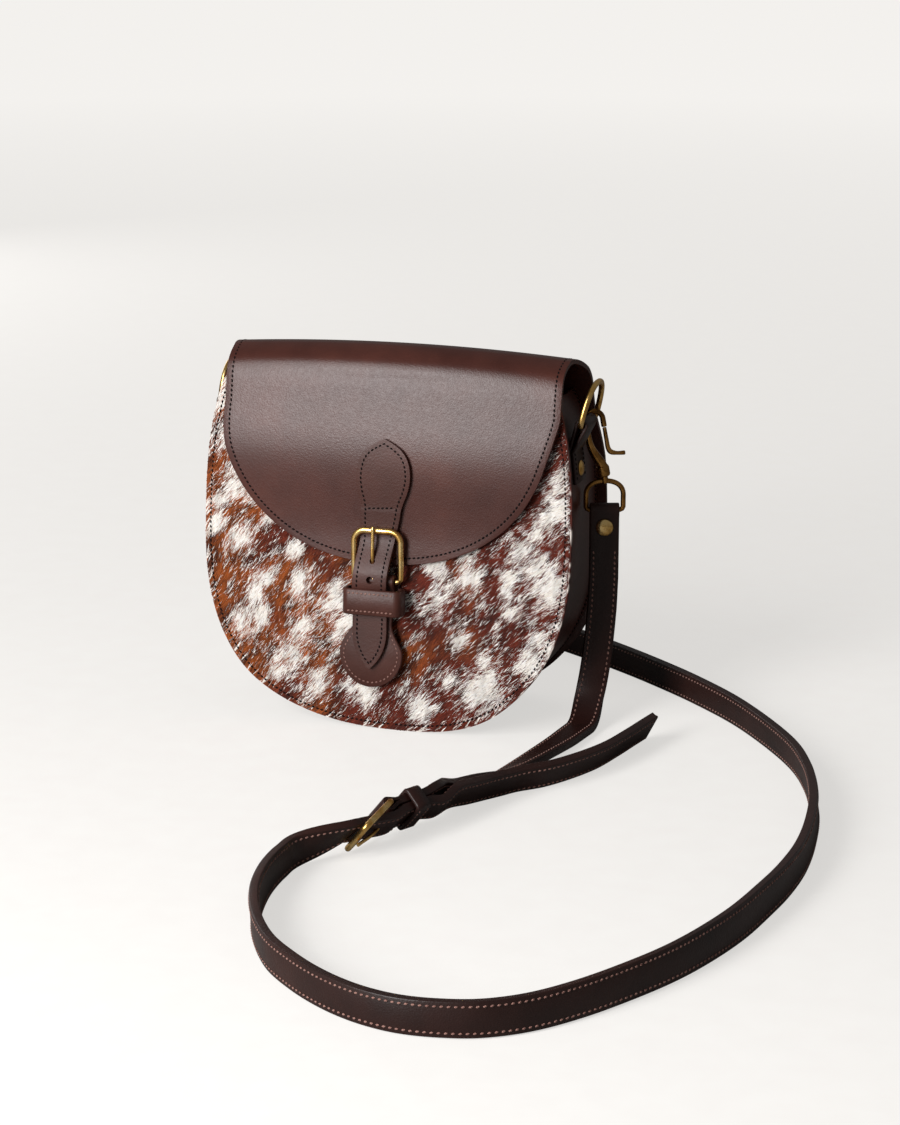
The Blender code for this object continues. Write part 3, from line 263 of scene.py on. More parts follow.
def layerProfile(half, thickness, layers, corner):
    # points round a strap's section, with the groove between two sewn layers
    deep = thickness / 2
    corner = min(corner, deep * 0.6)
    points = []
    for sideA, sideO in ((1, 1), (-1, 1), (-1, -1), (1, -1)):
        for angle in arc(0, 90, 2) if sideA * sideO > 0 else arc(90, 0, 2):
            points.append((sideA * (half - corner + corner * cos(angle)),
                           sideO * (deep - corner + corner * sin(angle))))
        if layers == 2 and sideA * sideO < 0:
            points.append((sideA * (half - corner * 0.5), 0))
    return points


def sectionAxes(across, along):
    # the directions along a strap's width and out of its face
    flat = (across - along * across.dot(along)).normalized()
    return flat, along.cross(flat)


def strapMesh(name, rows, layers=2, corner=0.0006):
    # a leather strip from rows of place, direction across, half width and thickness
    path = [row[0] for row in rows]
    rings = []
    for (place, across, half, thickness), along in zip(rows, directions(path)):
        across, out = sectionAxes(across, along)
        rings.append([
            place + across * a + out * o for a, o in layerProfile(half, thickness, layers, corner)
        ])
    return meshFromRows(name, rings, around=True, angle=50)


# Material helpers

def linear(hexColour):
    # an sRGB hex colour as the linear values that Blender's sockets take
    values = []
    for start in (0, 2, 4):
        value = int(hexColour[start:start + 2], 16) / 255
        values.append(value / 12.92 if value <= 0.04045 else ((value + 0.055) / 1.055) ** 2.4)
    return (*values, 1)


def addNode(tree, kind, values=None, stops=()):
    # adds a node, sets its own settings and colour stops, and fills or links its inputs
    node = tree.nodes.new("ShaderNode" + kind)
    for key, value in (values or {}).items():
        if isinstance(key, str) and hasattr(node, key):
            setattr(node, key, value)
        elif isinstance(value, bpy.types.NodeSocket):
            tree.links.new(value, node.inputs[key])
        else:
            node.inputs[key].default_value = value
    for number, (place, colour) in enumerate(stops):
        elements = node.color_ramp.elements
        element = elements[number] if number < len(elements) else elements.new(place)
        element.position = place
        element.color = linear(colour) if isinstance(colour, str) else (colour,) * 3 + (1,)
    return node


def newMaterial(name, shaderValues):
    # a material with its shader's constants, and the place on the object for its patterns
    material = bpy.data.materials.new(name)
    material.use_nodes = True
    tree = material.node_tree
    for key, value in shaderValues.items():
        tree.nodes["Principled BSDF"].inputs[key].default_value = value
    return material, tree, addNode(tree, "TexCoord").outputs["Object"]


def dress(tree, colour, gloss, bump=None):
    # gives the shader its colour, and the gloss and the bump made from their inputs
    shader = tree.nodes["Principled BSDF"]
    tree.links.new(colour, shader.inputs["Base Color"])
    tree.links.new(addNode(tree, "MapRange", gloss).outputs[0],
                   shader.inputs["Roughness"])
    if bump:
        tree.links.new(addNode(tree, "Bump", bump).outputs["Normal"],
                       shader.inputs["Normal"])


def leatherMaterial(name, dark, middle, light, roughness, grain=0.0011, depth=0.00010,
                    shine=0.4):
    # full-grain cowhide, drum dyed and waxed: fine pebbled grain under a soft satin sheen.
    # The real grain is about 0.5 mm; it is drawn at about 1 mm so that it shows.
    material, tree, place = newMaterial(name, {"Specular IOR Level": shine, "IOR": 1.5})
    cloud = addNode(tree, "TexNoise", {
        "Vector": place, "Scale": 22.0, "Detail": 5.0, "Roughness": 0.6})
    colour = addNode(tree, "ValToRGB", {0: cloud.outputs["Fac"]}, [
        (0.3, dark), (0.52, middle), (0.75, light)])
    pebbles = addNode(tree, "TexVoronoi", {
        "feature": "F1", "Vector": place, "Scale": 1 / grain})
    fine = addNode(tree, "TexNoise", {
        "Vector": place, "Scale": 0.5 / grain, "Detail": 3.0, "Roughness": 0.7})
    height = addNode(tree, "Math", {
        "operation": "ADD", 0: pebbles.outputs["Distance"], 1: fine.outputs["Fac"]})
    dress(tree, colour.outputs["Color"], {
        "Value": fine.outputs["Fac"], "To Min": roughness - 0.07, "To Max": roughness + 0.09,
    }, {"Height": height.outputs[0], "Strength": 0.55, "Distance": depth})
    return material


def noiseMaterial(name, shaderValues, noises, stops, gloss, relief=None):
    # the first noise gives the colour and the gloss, the last one the bump
    material, tree, place = newMaterial(name, shaderValues)
    facs = []
    for scale, detail, roughness in noises:
        facs.append(addNode(tree, "TexNoise", {
            "Vector": place, "Scale": scale, "Detail": detail,
            "Roughness": roughness}).outputs["Fac"])
    colour = addNode(tree, "ValToRGB", {0: facs[0]}, stops)
    bump = relief and {"Height": facs[-1], "Strength": relief[0], "Distance": relief[1]}
    dress(tree, colour.outputs["Color"], {
        "Value": facs[0], "From Min": gloss[0], "From Max": gloss[1], "To Min": gloss[2],
        "To Max": gloss[3]}, bump)
    return material


def brassMaterial(name, dark, middle, light):
    # cast brass, tumbled and left to age: bright gold where rubbed, brown in the hollows
    return noiseMaterial(name, {"Metallic": 1.0}, [(120.0, 4.0, 0.55), (1500.0, 2.0, 0.5)], [
        (0.30, dark), (0.46, middle), (0.70, light)], (0.3, 0.7, 0.32, 0.24), (0.2, 0.00003))


def threadMaterial(name, dark, light, sheen):
    # waxed polyester sewing thread, three strands twisted: slight sheen and a slanted twist
    material, tree, place = newMaterial(name, {
        "Specular IOR Level": 0.12, "Sheen Weight": sheen, "Sheen Roughness": 0.5})
    turnedPlace = addNode(tree, "Mapping", {"Vector": place, "Rotation": (0.6, 0.5, 0.7)})
    twist = addNode(tree, "TexWave", {
        "wave_type": "BANDS", "Vector": turnedPlace.outputs[0], "Scale": 700.0,
        "Distortion": 0.6}).outputs["Fac"]
    cloud = addNode(tree, "TexNoise", {
        "Vector": place, "Scale": 260.0, "Detail": 3.0}).outputs["Fac"]
    share = addNode(tree, "Math", {"operation": "MULTIPLY", 0: twist, 1: cloud})
    colour = addNode(tree, "ValToRGB", {0: share.outputs[0]}, [
        (0.1, dark), (0.6, light)])
    dress(tree, colour.outputs["Color"], {"Value": cloud, "To Min": 0.5, "To Max": 0.75},
          {"Height": twist, "Strength": 0.5, "Distance": 0.0001})
    return material


def suedeMaterial():
    # brown suede lining: matt nap that catches light at a glancing angle
    material, tree, place = newMaterial("brownSuede", {
        "Specular IOR Level": 0.2, "Sheen Weight": 0.5, "Sheen Roughness": 0.6})
    nap = addNode(tree, "TexNoise", {
        "Vector": place, "Scale": 320.0, "Detail": 8.0, "Roughness": 0.75}).outputs["Fac"]
    brushed = addNode(tree, "TexNoise", {"Vector": place, "Scale": 24.0, "Detail": 3.0})
    share = addNode(tree, "Math", {
        "operation": "MULTIPLY_ADD", 0: nap, 1: 0.5, 2: brushed.outputs["Fac"]})
    colour = addNode(tree, "ValToRGB", {0: share.outputs[0]}, [
        (0.45, "3a2620"), (0.95, "5e4238")])
    dress(tree, colour.outputs["Color"], {"Value": nap, "To Min": 0.8, "To Max": 0.98},
          {"Height": nap, "Strength": 0.6, "Distance": 0.0002})
    return material


def hairMaterial(name, strands):
    # hair-on cowhide: glossy straight hairs, their colour carried by the hairColour attribute
    material, tree, place = newMaterial(name, {
        "Specular IOR Level": 0.22, "Sheen Weight": 0.06, "Sheen Roughness": 0.4})
    base = addNode(tree, "Attribute", {"attribute_name": "hairColour"})
    along = addNode(tree, "Mapping", {
        "Vector": place, "Rotation": (0, radians(48), 0), "Scale": (180, 600, strands)})
    lines = addNode(tree, "TexNoise", {
        "Vector": along.outputs[0], "Scale": 1.0, "Detail": 4.0, "Roughness": 0.6}).outputs["Fac"]
    shade = addNode(tree, "ValToRGB", {0: lines}, [
        (0.3, 0.66), (0.5, 1.0), (0.7, 1.0)])
    mixed = addNode(tree, "Mix", {
        "data_type": "RGBA", "blend_type": "MULTIPLY", "Factor": 0.85, 6: base.outputs["Color"],
        7: shade.outputs["Color"]})
    dress(tree, mixed.outputs[2], {"Value": lines, "To Min": 0.5, "To Max": 0.75},
          {"Height": lines, "Strength": 0.7, "Distance": 0.0003})
    return material


saddleLeather = leatherMaterial("chocolateSaddleLeather", "3a1b15", "45231c", "522b22", 0.36,
                                depth=0.00008, grain=0.0009, shine=0.36)
closureLeather = leatherMaterial("chocolateClosureLeather", "381d17", "43241d", "502d26", 0.44,
                                 grain=0.0010, shine=0.30)
strapLeather = leatherMaterial("darkChocolateStrapLeather", "1d0d0a", "28130f", "341b15", 0.42,
                               grain=0.0009, shine=0.32)
fleshSide = leatherMaterial("brownFleshSide", "3a2822", "4a352c", "5a4236", 0.8, grain=0.0007,
                            depth=0.00015)
# cut leather edge, dyed and burnished with wax: nearly smooth, slightly uneven
leatherEdge = noiseMaterial(
    "burnishedLeatherEdge", {"Specular IOR Level": 0.4}, [(900.0, 4.0, 0.5)],
    [(0.3, "241615"), (0.7, "3f2a29")], (0, 1, 0.42, 0.62), (0.4, 0.0001))
darkThread = threadMaterial("darkBrownThread", "080303", "1a0c0b", 0)
paleThread = threadMaterial("dustyPinkThread", "6f4c45", "ab8579", 0.1)
agedBrass = brassMaterial("rubbedBrass", "a8793a", "dbae63", "f2d494")
# the same aged brass made darker for the hooks, their levers, swivel eyes and posts: painted shade
# for the shadow they hang in at the bag's sides
shadedHookBrass = brassMaterial("brassDarkenedForShade", "4b3219", "825a2c", "b98a4c")
# nickel-plated pressed steel of the hidden snap: cool, fairly bright, fine scuffs
nickelSteel = noiseMaterial(
    "nickelPlatedSteel", {"Metallic": 1.0}, [(500.0, 5.0, 0.5)],
    [(0.3, "a8a49c"), (0.7, "cfccc4")], (0, 1, 0.2, 0.42))
brownSuede = suedeMaterial()
hairyHide = hairMaterial("hairOnHide", 45)
singleHairs = hairMaterial("cowHairs", 30)
# raw cut edge of the hide: pale cream fibres, matt
rawHide = noiseMaterial(
    "rawHideEdge", {"Specular IOR Level": 0.25}, [(420.0, 5.0, 0.5)],
    [(0.3, "e0c2ad"), (0.62, "fff0e2")], (0, 1, 0.7, 0.95))
print("materials made")


# Surfaces of the bag, as in the solids

frontOut = Vector((0, -cos(bag["frontLean"]), sin(bag["frontLean"])))
frontUp = Vector((0, sin(bag["frontLean"]), cos(bag["frontLean"])))
backOut = Vector((0, cos(bag["backLean"]), sin(bag["backLean"])))
sideways = Vector((1, 0, 0))
worldUp = Vector((0, 0, 1))
frontFoot = bag["panelThickness"] * sin(bag["frontLean"])
backFoot = bag["panelThickness"] * sin(bag["backLean"])


def frontPlace(across, up, out):
    return (Vector((across, -bag["depth"] / 2, frontFoot)) + frontUp * up + frontOut * out)


def frontSeam(spots):
    # a line of stitches from places across, up and out
    return [(frontPlace(*spot), frontOut) for spot in spots]


def backFace(height):
    return bag["depth"] / 2 - (height - backFoot) * tan(bag["backLean"])


def panelMiddle(up):
    return bag["footShift"] * max(1 - up / bag["footHeight"], 0) ** 2


def panelHalfWidth(up):
    share = max(up - bag["widestHeight"], 0) / (bag["height"] - bag["widestHeight"])
    return bag["halfWidth"] - bag["topTaper"] * share ** bag["taperPower"]


def roundFoot(halfWidth, height, roundness, count):
    rows = []
    for step in range(count + 1):
        angle = pi / 2 * step / count
        rows.append((
            height * (1 - cos(angle) ** (2 / roundness)),
            halfWidth * sin(angle) ** (2 / roundness),
        ))
    return rows


def panelRows(inset, top, count):
    rows = []
    height = bag["widestHeight"] - inset
    for up, half in roundFoot(bag["halfWidth"] - inset, height, bag["roundness"], count):
        rows.append((inset + up, panelMiddle(inset + up), half))
    steps = count // 2
    for step in range(1, steps + 1):
        up = bag["widestHeight"] + (top - bag["widestHeight"]) * step / steps
        rows.append((up, 0, panelHalfWidth(up) - inset))
    return rows


def panelOutline(inset, top, count=60):
    # places across and up round the panel, from its foot up the right and down the left
    rows = panelRows(inset, top, count)
    right = [Vector((middle + half, up, 0)) for up, middle, half in rows]
    left = [Vector((middle - half, up, 0)) for up, middle, half in reversed(rows)]
    return right + left


def evenly(points, count):
    # the closed line as a number of evenly spaced places
    closed = points + [points[0]]
    total = sum((b - a).length for a, b in zip(closed, closed[1:]))
    spots = [spot for spot, along in spreadAlong(closed, total / count)]
    return spots[:count]


print("surfaces ready")


# Hair-on front panel

hide = dict(
    thickness=0.0023, backing=0.0006, hairs=150000, hairLength=0.0064, hairWidth=0.00074,
    hairAngle=radians(47), patchLean=radians(66), seed=7, stitchInset=0.0032, spare=1.25,
    bareEdge=0.0009, tipMargin=0.0004, trims=6, paintedRootShade=0.74, paintedTipLight=1.15,
    stitchLift=0.00045, stitchDrop=0.004, backingGap=0.00005,
    # pale patches: across, up and radius in millimetres
    patches=[
        (-97, 172, 7), (-88, 125, 7), (-77, 126, 5), (-86, 96, 6), (-72, 76, 5), (-77, 64, 4),
        (-51, 75, 5), (-55, 91, 3), (-32, 67, 7), (-25, 53, 6), (-49, 48, 5), (-55, 33, 7),
        (-62, 26, 5), (-85, 48, 6), (-40, 20, 6), (-11, 14, 7), (-18, 20, 4), (19, 9, 7),
        (55, 24, 11), (91, 84, 10), (29, 74, 7), (27, 89, 6), (46, 88, 6), (67, 85, 6),
        (82, 94, 6), (69, 69, 4), (91, 138, 6), (95, 126, 5), (84, 113, 7), (73, 102, 5),
        (89, 54, 7), (80, 39, 7), (42, 51, 4), (54, 39, 4), (35, 30, 3), (63, 58, 3),
        (-101, 105, 4), (-99, 118, 5), (-68, 111, 4), (-94, 150, 4), (-72, 54, 4),
        (-40, 150, 10), (10, 160, 8), (-10, 130, 8), (40, 125, 8), (-60, 170, 8),
    ],
)
patchTable = np.array(hide["patches"]) / 1000
cream = np.array(linear("fff3e9")[:3])
tanBrown = np.array(linear("9c4f20")[:3])
chestnut = np.array(linear("682617")[:3])
umber = np.array(linear("35130b")[:3])


def hairColour(across, up, wobble):
    # cream patches over red-brown hair, worked out from the place on the hide; the brown also
    # carries painted shade, lighter tan towards the left and darker chestnut towards the right
    spot = Vector((across, up, 0))
    lean = hide["hairAngle"]
    dx = across - patchTable[:, 0] + 0.0040 * noise.noise(spot * 130)
    dy = up - patchTable[:, 1] + 0.0050 * noise.noise(spot * 110 + Vector((3, 8, 1)))
    along = dx * cos(hide["patchLean"]) + dy * sin(hide["patchLean"])
    beside = -dx * sin(hide["patchLean"]) + dy * cos(hide["patchLean"])
    reach = patchTable[:, 2] * 1.06
    patch = np.exp(-(along / reach / 1.35) ** 2 - (beside / reach / 1.05) ** 2).max()
    strokes = Vector((across * cos(lean) + up * sin(lean), up * cos(lean) - across * sin(lean), 0))
    coarse = noise.noise(Vector((strokes.x * 62, strokes.y * 120, 7)))
    middle = noise.noise(Vector((strokes.x * 130, strokes.y * 330, 3)))
    fine = noise.noise(Vector((strokes.x * 240, strokes.y * 1300, 9)))
    flecks = noise.noise(Vector((strokes.x * 75, strokes.y * 190, 12)))
    field = patch + 0.42 * coarse + 0.42 * middle + 0.80 * fine + 0.38 * flecks + wobble * 0.24
    field += 0.05 * smoothShare(-across, -0.02, 0.06)
    pale = smoothShare(field, 0.40, 0.58)
    # tan in random patches, plus painted shade: across the whole panel the brown goes tan towards
    # the left and dark chestnut towards the right
    tanShareAndPaintedShade = smoothShare(noise.noise(spot * 34 + Vector((5, 2, 1))) - across * 7 - 0.15, -0.4, 0.5)
    brown = chestnut + (tanBrown - chestnut) * tanShareAndPaintedShade
    dark = flecks * 1.4 + fine * 1.1 + wobble * 0.35 - 0.6 * patch + 0.12
    brown = brown + (umber - brown) * smoothShare(dark, -0.25, 0.45) * 0.9
    strand = noise.noise(Vector((strokes.x * 210, strokes.y * 1700, 21)))
    shade = min(max(1 + 0.75 * strand + 0.16 * wobble, 0.45), 1.35)
    return (brown + (cream - brown) * pale) * (shade * (1 - pale * 0.5) + pale * 0.5)


def paintHair(piece):
    # colours the skin under the hairs
    values = np.ones((len(piece.data.vertices), 4))
    for row, vertex in zip(values, piece.data.vertices):
        up = (vertex.co - frontPlace(0, 0, 0)).dot(frontUp)
        row[:3] = hairColour(vertex.co.x, up, 0)
    layer = piece.data.color_attributes.new("hairColour", "FLOAT_COLOR", "POINT")
    layer.data.foreach_set("color", values.ravel())


def panelSheet(name, outline, out, rings=12, place=frontPlace):
    # a flat panel from its outline, with closer rings near the edge
    rows = []
    for ring in range(rings + 1):
        share = (ring / rings) ** 1.6
        row = []
        for spot in outline:
            spine = Vector((spot.x * 0.02, min(max(spot.y, 0.060), 0.130), 0))
            where = spot + (spine - spot) * share
            row.append(place(where.x, where.y, out))
        rows.append(row)
    piece = meshFromRows(name, rows, around=True)
    # the lid over the whole outline comes off, the narrow one in the middle stays
    shape = bmesh.new()
    shape.from_mesh(piece.data)
    lid = max(shape.faces, key=lambda face: face.calc_area())
    bmesh.ops.delete(shape, geom=[lid], context="FACES_ONLY")
    bmesh.ops.triangulate(shape, faces=[face for face in shape.faces if len(face.verts) > 4])
    shape.to_mesh(piece.data)
    shape.free()
    return piece


def makeFrontPanel():
    outline = evenly(panelOutline(0, bag["height"]), 360)
    skin = panelSheet("hide_panel", outline, 0, rings=40)
    faceTowards(skin, frontOut)
    thicken(skin, hide["thickness"], edge=0.0008, segments=2, edgeSlot=1)
    paintHair(skin)
    finish(skin, "bag", [hairyHide, rawHide], ["front_panel"])
    under = panelSheet("hide_backing", outline, -hide["thickness"] - hide["backingGap"], rings=8)
    faceTowards(under, frontOut)
    thicken(under, hide["backing"], edge=0.0001, segments=1)
    finish(under, "bag", [fleshSide, leatherEdge])


def makeHairs():
    # short straight hairs that lie almost flat, each one thin pointed blade
    rng = np.random.default_rng(hide["seed"])
    shape = np.array([(p.x, p.y) for p in panelOutline(0, bag["height"])])
    low = shape.min(0) - 0.001
    size = shape.max(0) + 0.001 - low
    spots = low + rng.random((int(hide["hairs"] * hide["spare"]), 2)) * size
    rows = panelRows(0, bag["height"], 60)
    ups = np.array([row[0] for row in rows])
    middles = np.interp(spots[:, 1], ups, [row[1] for row in rows])
    halves = np.interp(spots[:, 1], ups, [row[2] for row in rows], left=0)
    # the hair grows to the very edge on the left, and leaves the cut edge bare on the right
    aside = spots[:, 0] - middles
    keep = (aside > -halves) & (aside < halves - hide["bareEdge"])
    spots = spots[keep][:hide["hairs"]]
    number = len(spots)
    wobble = rng.normal(0, 1, number)
    swirl = np.array([noise.noise(Vector((x * 28, y * 28, 4))) for x, y in spots])
    angle = hide["hairAngle"] - spots[:, 0] * 1.1 + rng.normal(0, 0.17, number) + swirl * 0.4
    length = hide["hairLength"] * (0.65 + 0.55 * rng.random(number))
    half = hide["hairWidth"] * (0.3 + 0.35 * rng.random(number))[:, None]
    rise = (0.00015 + 0.00060 * rng.random(number))[:, None]
    # trimmed hair: no tip reaches past the cut edge of the hide
    for trim in range(hide["trims"]):
        tips = spots + np.stack([np.cos(angle), np.sin(angle)], 1) * length[:, None]
        middle, room = (np.interp(tips[:, 1], ups, [row[c] for row in rows]) for c in (1, 2))
        beyond = np.abs(tips[:, 0] - middle) > room - hide["tipMargin"]
        beyond |= tips[:, 1] > bag["height"] - hide["tipMargin"]
        length = np.where(beyond, length * 0.72, length)
    base = np.array(frontPlace(0, 0, 0.00002))
    across, upward, outward = (np.array(v) for v in (sideways, frontUp, frontOut))
    run = np.cos(angle)[:, None] * across + np.sin(angle)[:, None] * upward
    beside = -np.sin(angle)[:, None] * across + np.cos(angle)[:, None] * upward
    beside = beside + outward * rng.normal(0, 0.35, number)[:, None]
    root = base + spots[:, :1] * across + spots[:, 1:] * upward
    corners = np.stack([
        root + beside * half, root - beside * half, root + run * length[:, None] + outward * rise,
    ], 1).reshape(-1, 3)
    mesh = bpy.data.meshes.new("hide_hairs")
    mesh.from_pydata(corners.tolist(), [], np.arange(number * 3).reshape(-1, 3).tolist())
    piece = bpy.data.objects.new("hide_hairs", mesh)
    bpy.context.collection.objects.link(piece)
    layer = mesh.color_attributes.new("hairColour", "FLOAT_COLOR", "POINT")
    values = np.ones((number, 3, 4))
    for row, (x, y) in enumerate(spots):
        values[row, :, :3] = hairColour(x, y, wobble[row])
    # painted shade at the root of each hair and painted light at its tip
    values[:, :2, :3] *= hide["paintedRootShade"]
    values[:, 2, :3] *= hide["paintedTipLight"]
    layer.data.foreach_set("color", np.clip(values, 0, 1).ravel())
    finish(piece, "bag", [singleHairs])


# Stitching, one stitch modelled once and copied along each seam

stitch = dict(length=0.0019, width=0.00112, height=0.00070, spacing=0.0026, slant=radians(11),
              lift=0.0001, bagLift=0.00012)


def stitchShape():
    deselectAll()
    bpy.ops.mesh.primitive_uv_sphere_add(segments=8, ring_count=5, radius=0.5)
    single = bpy.context.object
    points = np.array([tuple(v.co) for v in single.data.vertices])
    faces = [tuple(face.vertices) for face in single.data.polygons]
    bpy.data.objects.remove(single, do_unlink=True)
    # drawn out lengthwise and thinned where it dives into the leather
    points[:, 1] *= 1 - 0.35 * (np.abs(points[:, 2]) * 2) ** 2
    return points[:, [2, 1, 0]], faces


stitchPoints, stitchFaces = stitchShape()


def makeStitches(name, lines, bodyName, material,
                 spacing=stitch["spacing"], size=1.0):
    # lines hold places, each with the direction out of the leather
    measures = np.array([stitch["length"], stitch["width"], stitch["height"]]) * size
    blocks = []
    for line in lines:
        travelled = spacing / 2
        for (start, out), (end, _) in zip(line, line[1:]):
            step = end - start
            along = step.normalized()
            flat = (out - along * out.dot(along)).normalized()
            slanted = along * cos(stitch["slant"]) + flat.cross(along) * sin(stitch["slant"])
            axes = np.array([slanted, flat.cross(slanted), flat])
            while travelled < step.length:
                place = np.array(start + step * travelled / step.length)
                blocks.append(stitchPoints * measures @ axes + place)
                travelled += spacing
            travelled -= step.length
    count = len(stitchPoints)
    faces = [tuple(block * count + corner for corner in face)
             for block in range(len(blocks)) for face in stitchFaces]
    mesh = bpy.data.meshes.new(name)
    mesh.from_pydata(np.concatenate(blocks).tolist(), [], faces)
    piece = bpy.data.objects.new(name, mesh)
    bpy.context.collection.objects.link(piece)
    smooth(piece, 60)
    finish(piece, bodyName, [material])


# Back, roll and flap: one sheet of leather

saddle = dict(
    thickness=0.0024, rollStart=0.1430, rollRise=0.0624, rollHalfDepth=0.0455, crown=0.0036,
    outlineShares=[
        (0.736, 0.224), (0.560, 0.497), (0.435, 0.675), (0.330, 0.785), (0.210, 0.865),
        (0.068, 0.920), (-0.099, 0.968), (-0.275, 1.000), (-0.440, 0.994), (-0.590, 0.945),
        (-0.668, 0.900), (-0.718, 0.845), (-0.746, 0.785),
    ],
    hingeShare=0.785, flapLift=0.0005, flapThickness=0.0030, flapHalfWidth=0.0946,
    hingeHalfWidth=0.0980, shift=0.0031, shiftStart=0.1500, bottom=0.0924, widest=0.1840,
    roundness=2.25, stitchInset=0.0034, bulge=0.0034, bulgeLow=0.1040, bulgePeak=0.1500,
    bulgeTop=0.1960, bendStart=(0, 0.024, 0.190), bendEnd=(0, 0.002, 0.190),
    easeTimes=30, easeLow=0.168, easeDepth=0.012, backDrop=0.002, footDrop=0.003,
)
saddleBend = ("bag", "flap", saddle["bendStart"], saddle["bendEnd"])
flapOut = saddle["flapLift"] + saddle["flapThickness"]


def flapBulge(up):
    # the leather swells a little between the roll and the foot of the flap
    rise = smoothShare(up, saddle["bulgeLow"], saddle["bulgePeak"])
    return saddle["bulge"] * rise * (1 - smoothShare(up, saddle["bulgePeak"], saddle["bulgeTop"]))


def rollOutline(steps):
    points = [(backFace(saddle["rollStart"]), saddle["rollStart"])]
    for depth, rise in saddle["outlineShares"]:
        points.append((depth * saddle["rollHalfDepth"],
                       saddle["rollStart"] + rise * saddle["rollRise"]))
    for up in (saddle["widest"] + flapOut, saddle["widest"] - flapOut):
        place = frontPlace(0, up, flapOut + flapBulge(up))
        points.append((place.y, place.z))
    return [Vector((0, depth, height)) for depth, height in smoothCurve(points, steps)]


roll = rollOutline(8)
rollAlong = directions(roll)
hingeHeight = saddle["rollStart"] + saddle["hingeShare"] * saddle["rollRise"]
hingeRow = next(row for row, place in enumerate(roll) if place.z >= hingeHeight - 0.0003)
apexHeight = max(place.z for place in roll)
frontLineDepth = frontPlace(0, saddle["widest"], 0).y


def rollOut(along):
    return Vector((0, along.z, -along.y))


def saddleRows(inset):
    # rows from the foot of the back over the roll to the foot of the flap:
    # outer place, outward, middle, half width, crown
    rows = []
    for up, middle, half in panelRows(inset, bag["height"], 44):
        height = backFoot + up * cos(bag["backLean"])
        if height >= saddle["rollStart"] - saddle["backDrop"]:
            break
        rows.append((Vector((0, backFace(height), height)), backOut, middle, half, 0))
    hinge = roll[hingeRow]
    for row, (place, along) in enumerate(zip(roll, rollAlong)):
        middle = saddle["shift"]
        crown = 0
        if row <= hingeRow:
            half = between(panelHalfWidth(place.z), saddle["hingeHalfWidth"], place.z,
                           saddle["rollStart"], hinge.z)
            middle *= smoothShare(place.z, saddle["rollStart"], hinge.z)
        else:
            half = between(saddle["flapHalfWidth"], saddle["hingeHalfWidth"], place.y,
                           frontLineDepth, hinge.y)
            crown = saddle["crown"] * smoothShare(place.z, hinge.z, apexHeight)
        rows.append((place, rollOut(along), middle, half - inset, crown))
    height = saddle["widest"] - saddle["bottom"] - inset
    foot = roundFoot(saddle["flapHalfWidth"] - inset, height, saddle["roundness"], 56)
    for rise, half in reversed(foot):
        up = saddle["bottom"] + inset + rise
        place = frontPlace(0, up, flapOut + flapBulge(up))
        if place.z <= roll[-1].z - saddle["footDrop"]:
            middle = saddle["shift"] * smoothShare(up, saddle["shiftStart"], saddle["widest"])
            rows.append((place, frontOut, middle, half, 0))
    # the leather leaves the roll without a crease
    for turn in range(saddle["easeTimes"]):
        for row in range(1, len(rows) - 1):
            place = rows[row][0]
            if place.z > saddle["easeLow"] and place.y < frontLineDepth + saddle["easeDepth"]:
                eased = (rows[row - 1][0] + place * 2 + rows[row + 1][0]) / 4
                rows[row] = (eased, *rows[row][1:])
    return rows


def saddlePoint(row, share, proud=0):
    place, out, middle, half, crown = row
    return (place + sideways * (middle + half * share)
            + out * (crown * (1 - share * share) + proud))


def makeSaddle():
    rows = [[saddlePoint(row, share) for share in spread(-1, 1, 36)] for row in saddleRows(0)]
    piece = meshFromRows("back_and_flap", rows)
    editAll(piece)
    bpy.ops.mesh.remove_doubles(threshold=mergeDistance)
    bpy.ops.object.mode_set(mode="OBJECT")
    faceTowards(piece, worldUp)
    thicken(piece, saddle["thickness"], edge=0.0006, segments=3)
    finish(piece, saddleBend, [saddleLeather, leatherEdge], ["flap", "back_panel"])
    rows = saddleRows(saddle["stitchInset"])
    lines = [[(saddlePoint(row, side, stitch["bagLift"]), row[1]) for row in rows]
             for side in (1, -1)]
    makeStitches("flap_stitches", lines, saddleBend, darkThread)


# Gusset and lining

gusset = dict(thickness=0.0025, inset=0.0050, top=0.1840, sag=0.0030, sagFoot=(0.020, 0.060),
              sagTop=(0.095, 0.130), seams=(0.055, 0.945), seamFoot=0.012)


def gussetOutline(count=44):
    half = bag["halfWidth"] - gusset["inset"]
    right = [(panelMiddle(up) + across, up) for up, across in
             roundFoot(half, bag["widestHeight"], bag["roundness"], count)]
    right += [(panelHalfWidth(up) - gusset["inset"], up)
              for up in spread(bag["widestHeight"], gusset["top"], 14)[1:]]
    left = [(2 * panelMiddle(up) - across, up) for across, up in right]
    return [Vector((across, 0, up)) for across, up in right[::-1] + left[1:]]


def backInside(height):
    depth = bag["panelThickness"] + gap
    if height < saddle["rollStart"]:
        return backFace(height) - depth / cos(bag["backLean"])
    for low, high, along in zip(roll, roll[1:], rollAlong):
        first = low - rollOut(along) * depth
        second = high - rollOut(along) * depth
        if second.z >= height:
            share = (height - first.z) / (second.z - first.z)
            return first.y + (second.y - first.y) * max(share, 0)
    return roll[hingeRow].y - depth


def frontInside(height):
    depth = (bag["panelThickness"] + gap) / cos(bag["frontLean"])
    return -bag["depth"] / 2 + (height - frontFoot) * tan(bag["frontLean"]) + depth


def gussetPlace(place, share):
    near = frontInside(place.z)
    return Vector((place.x, near + (backInside(place.z) - near) * share, place.z))


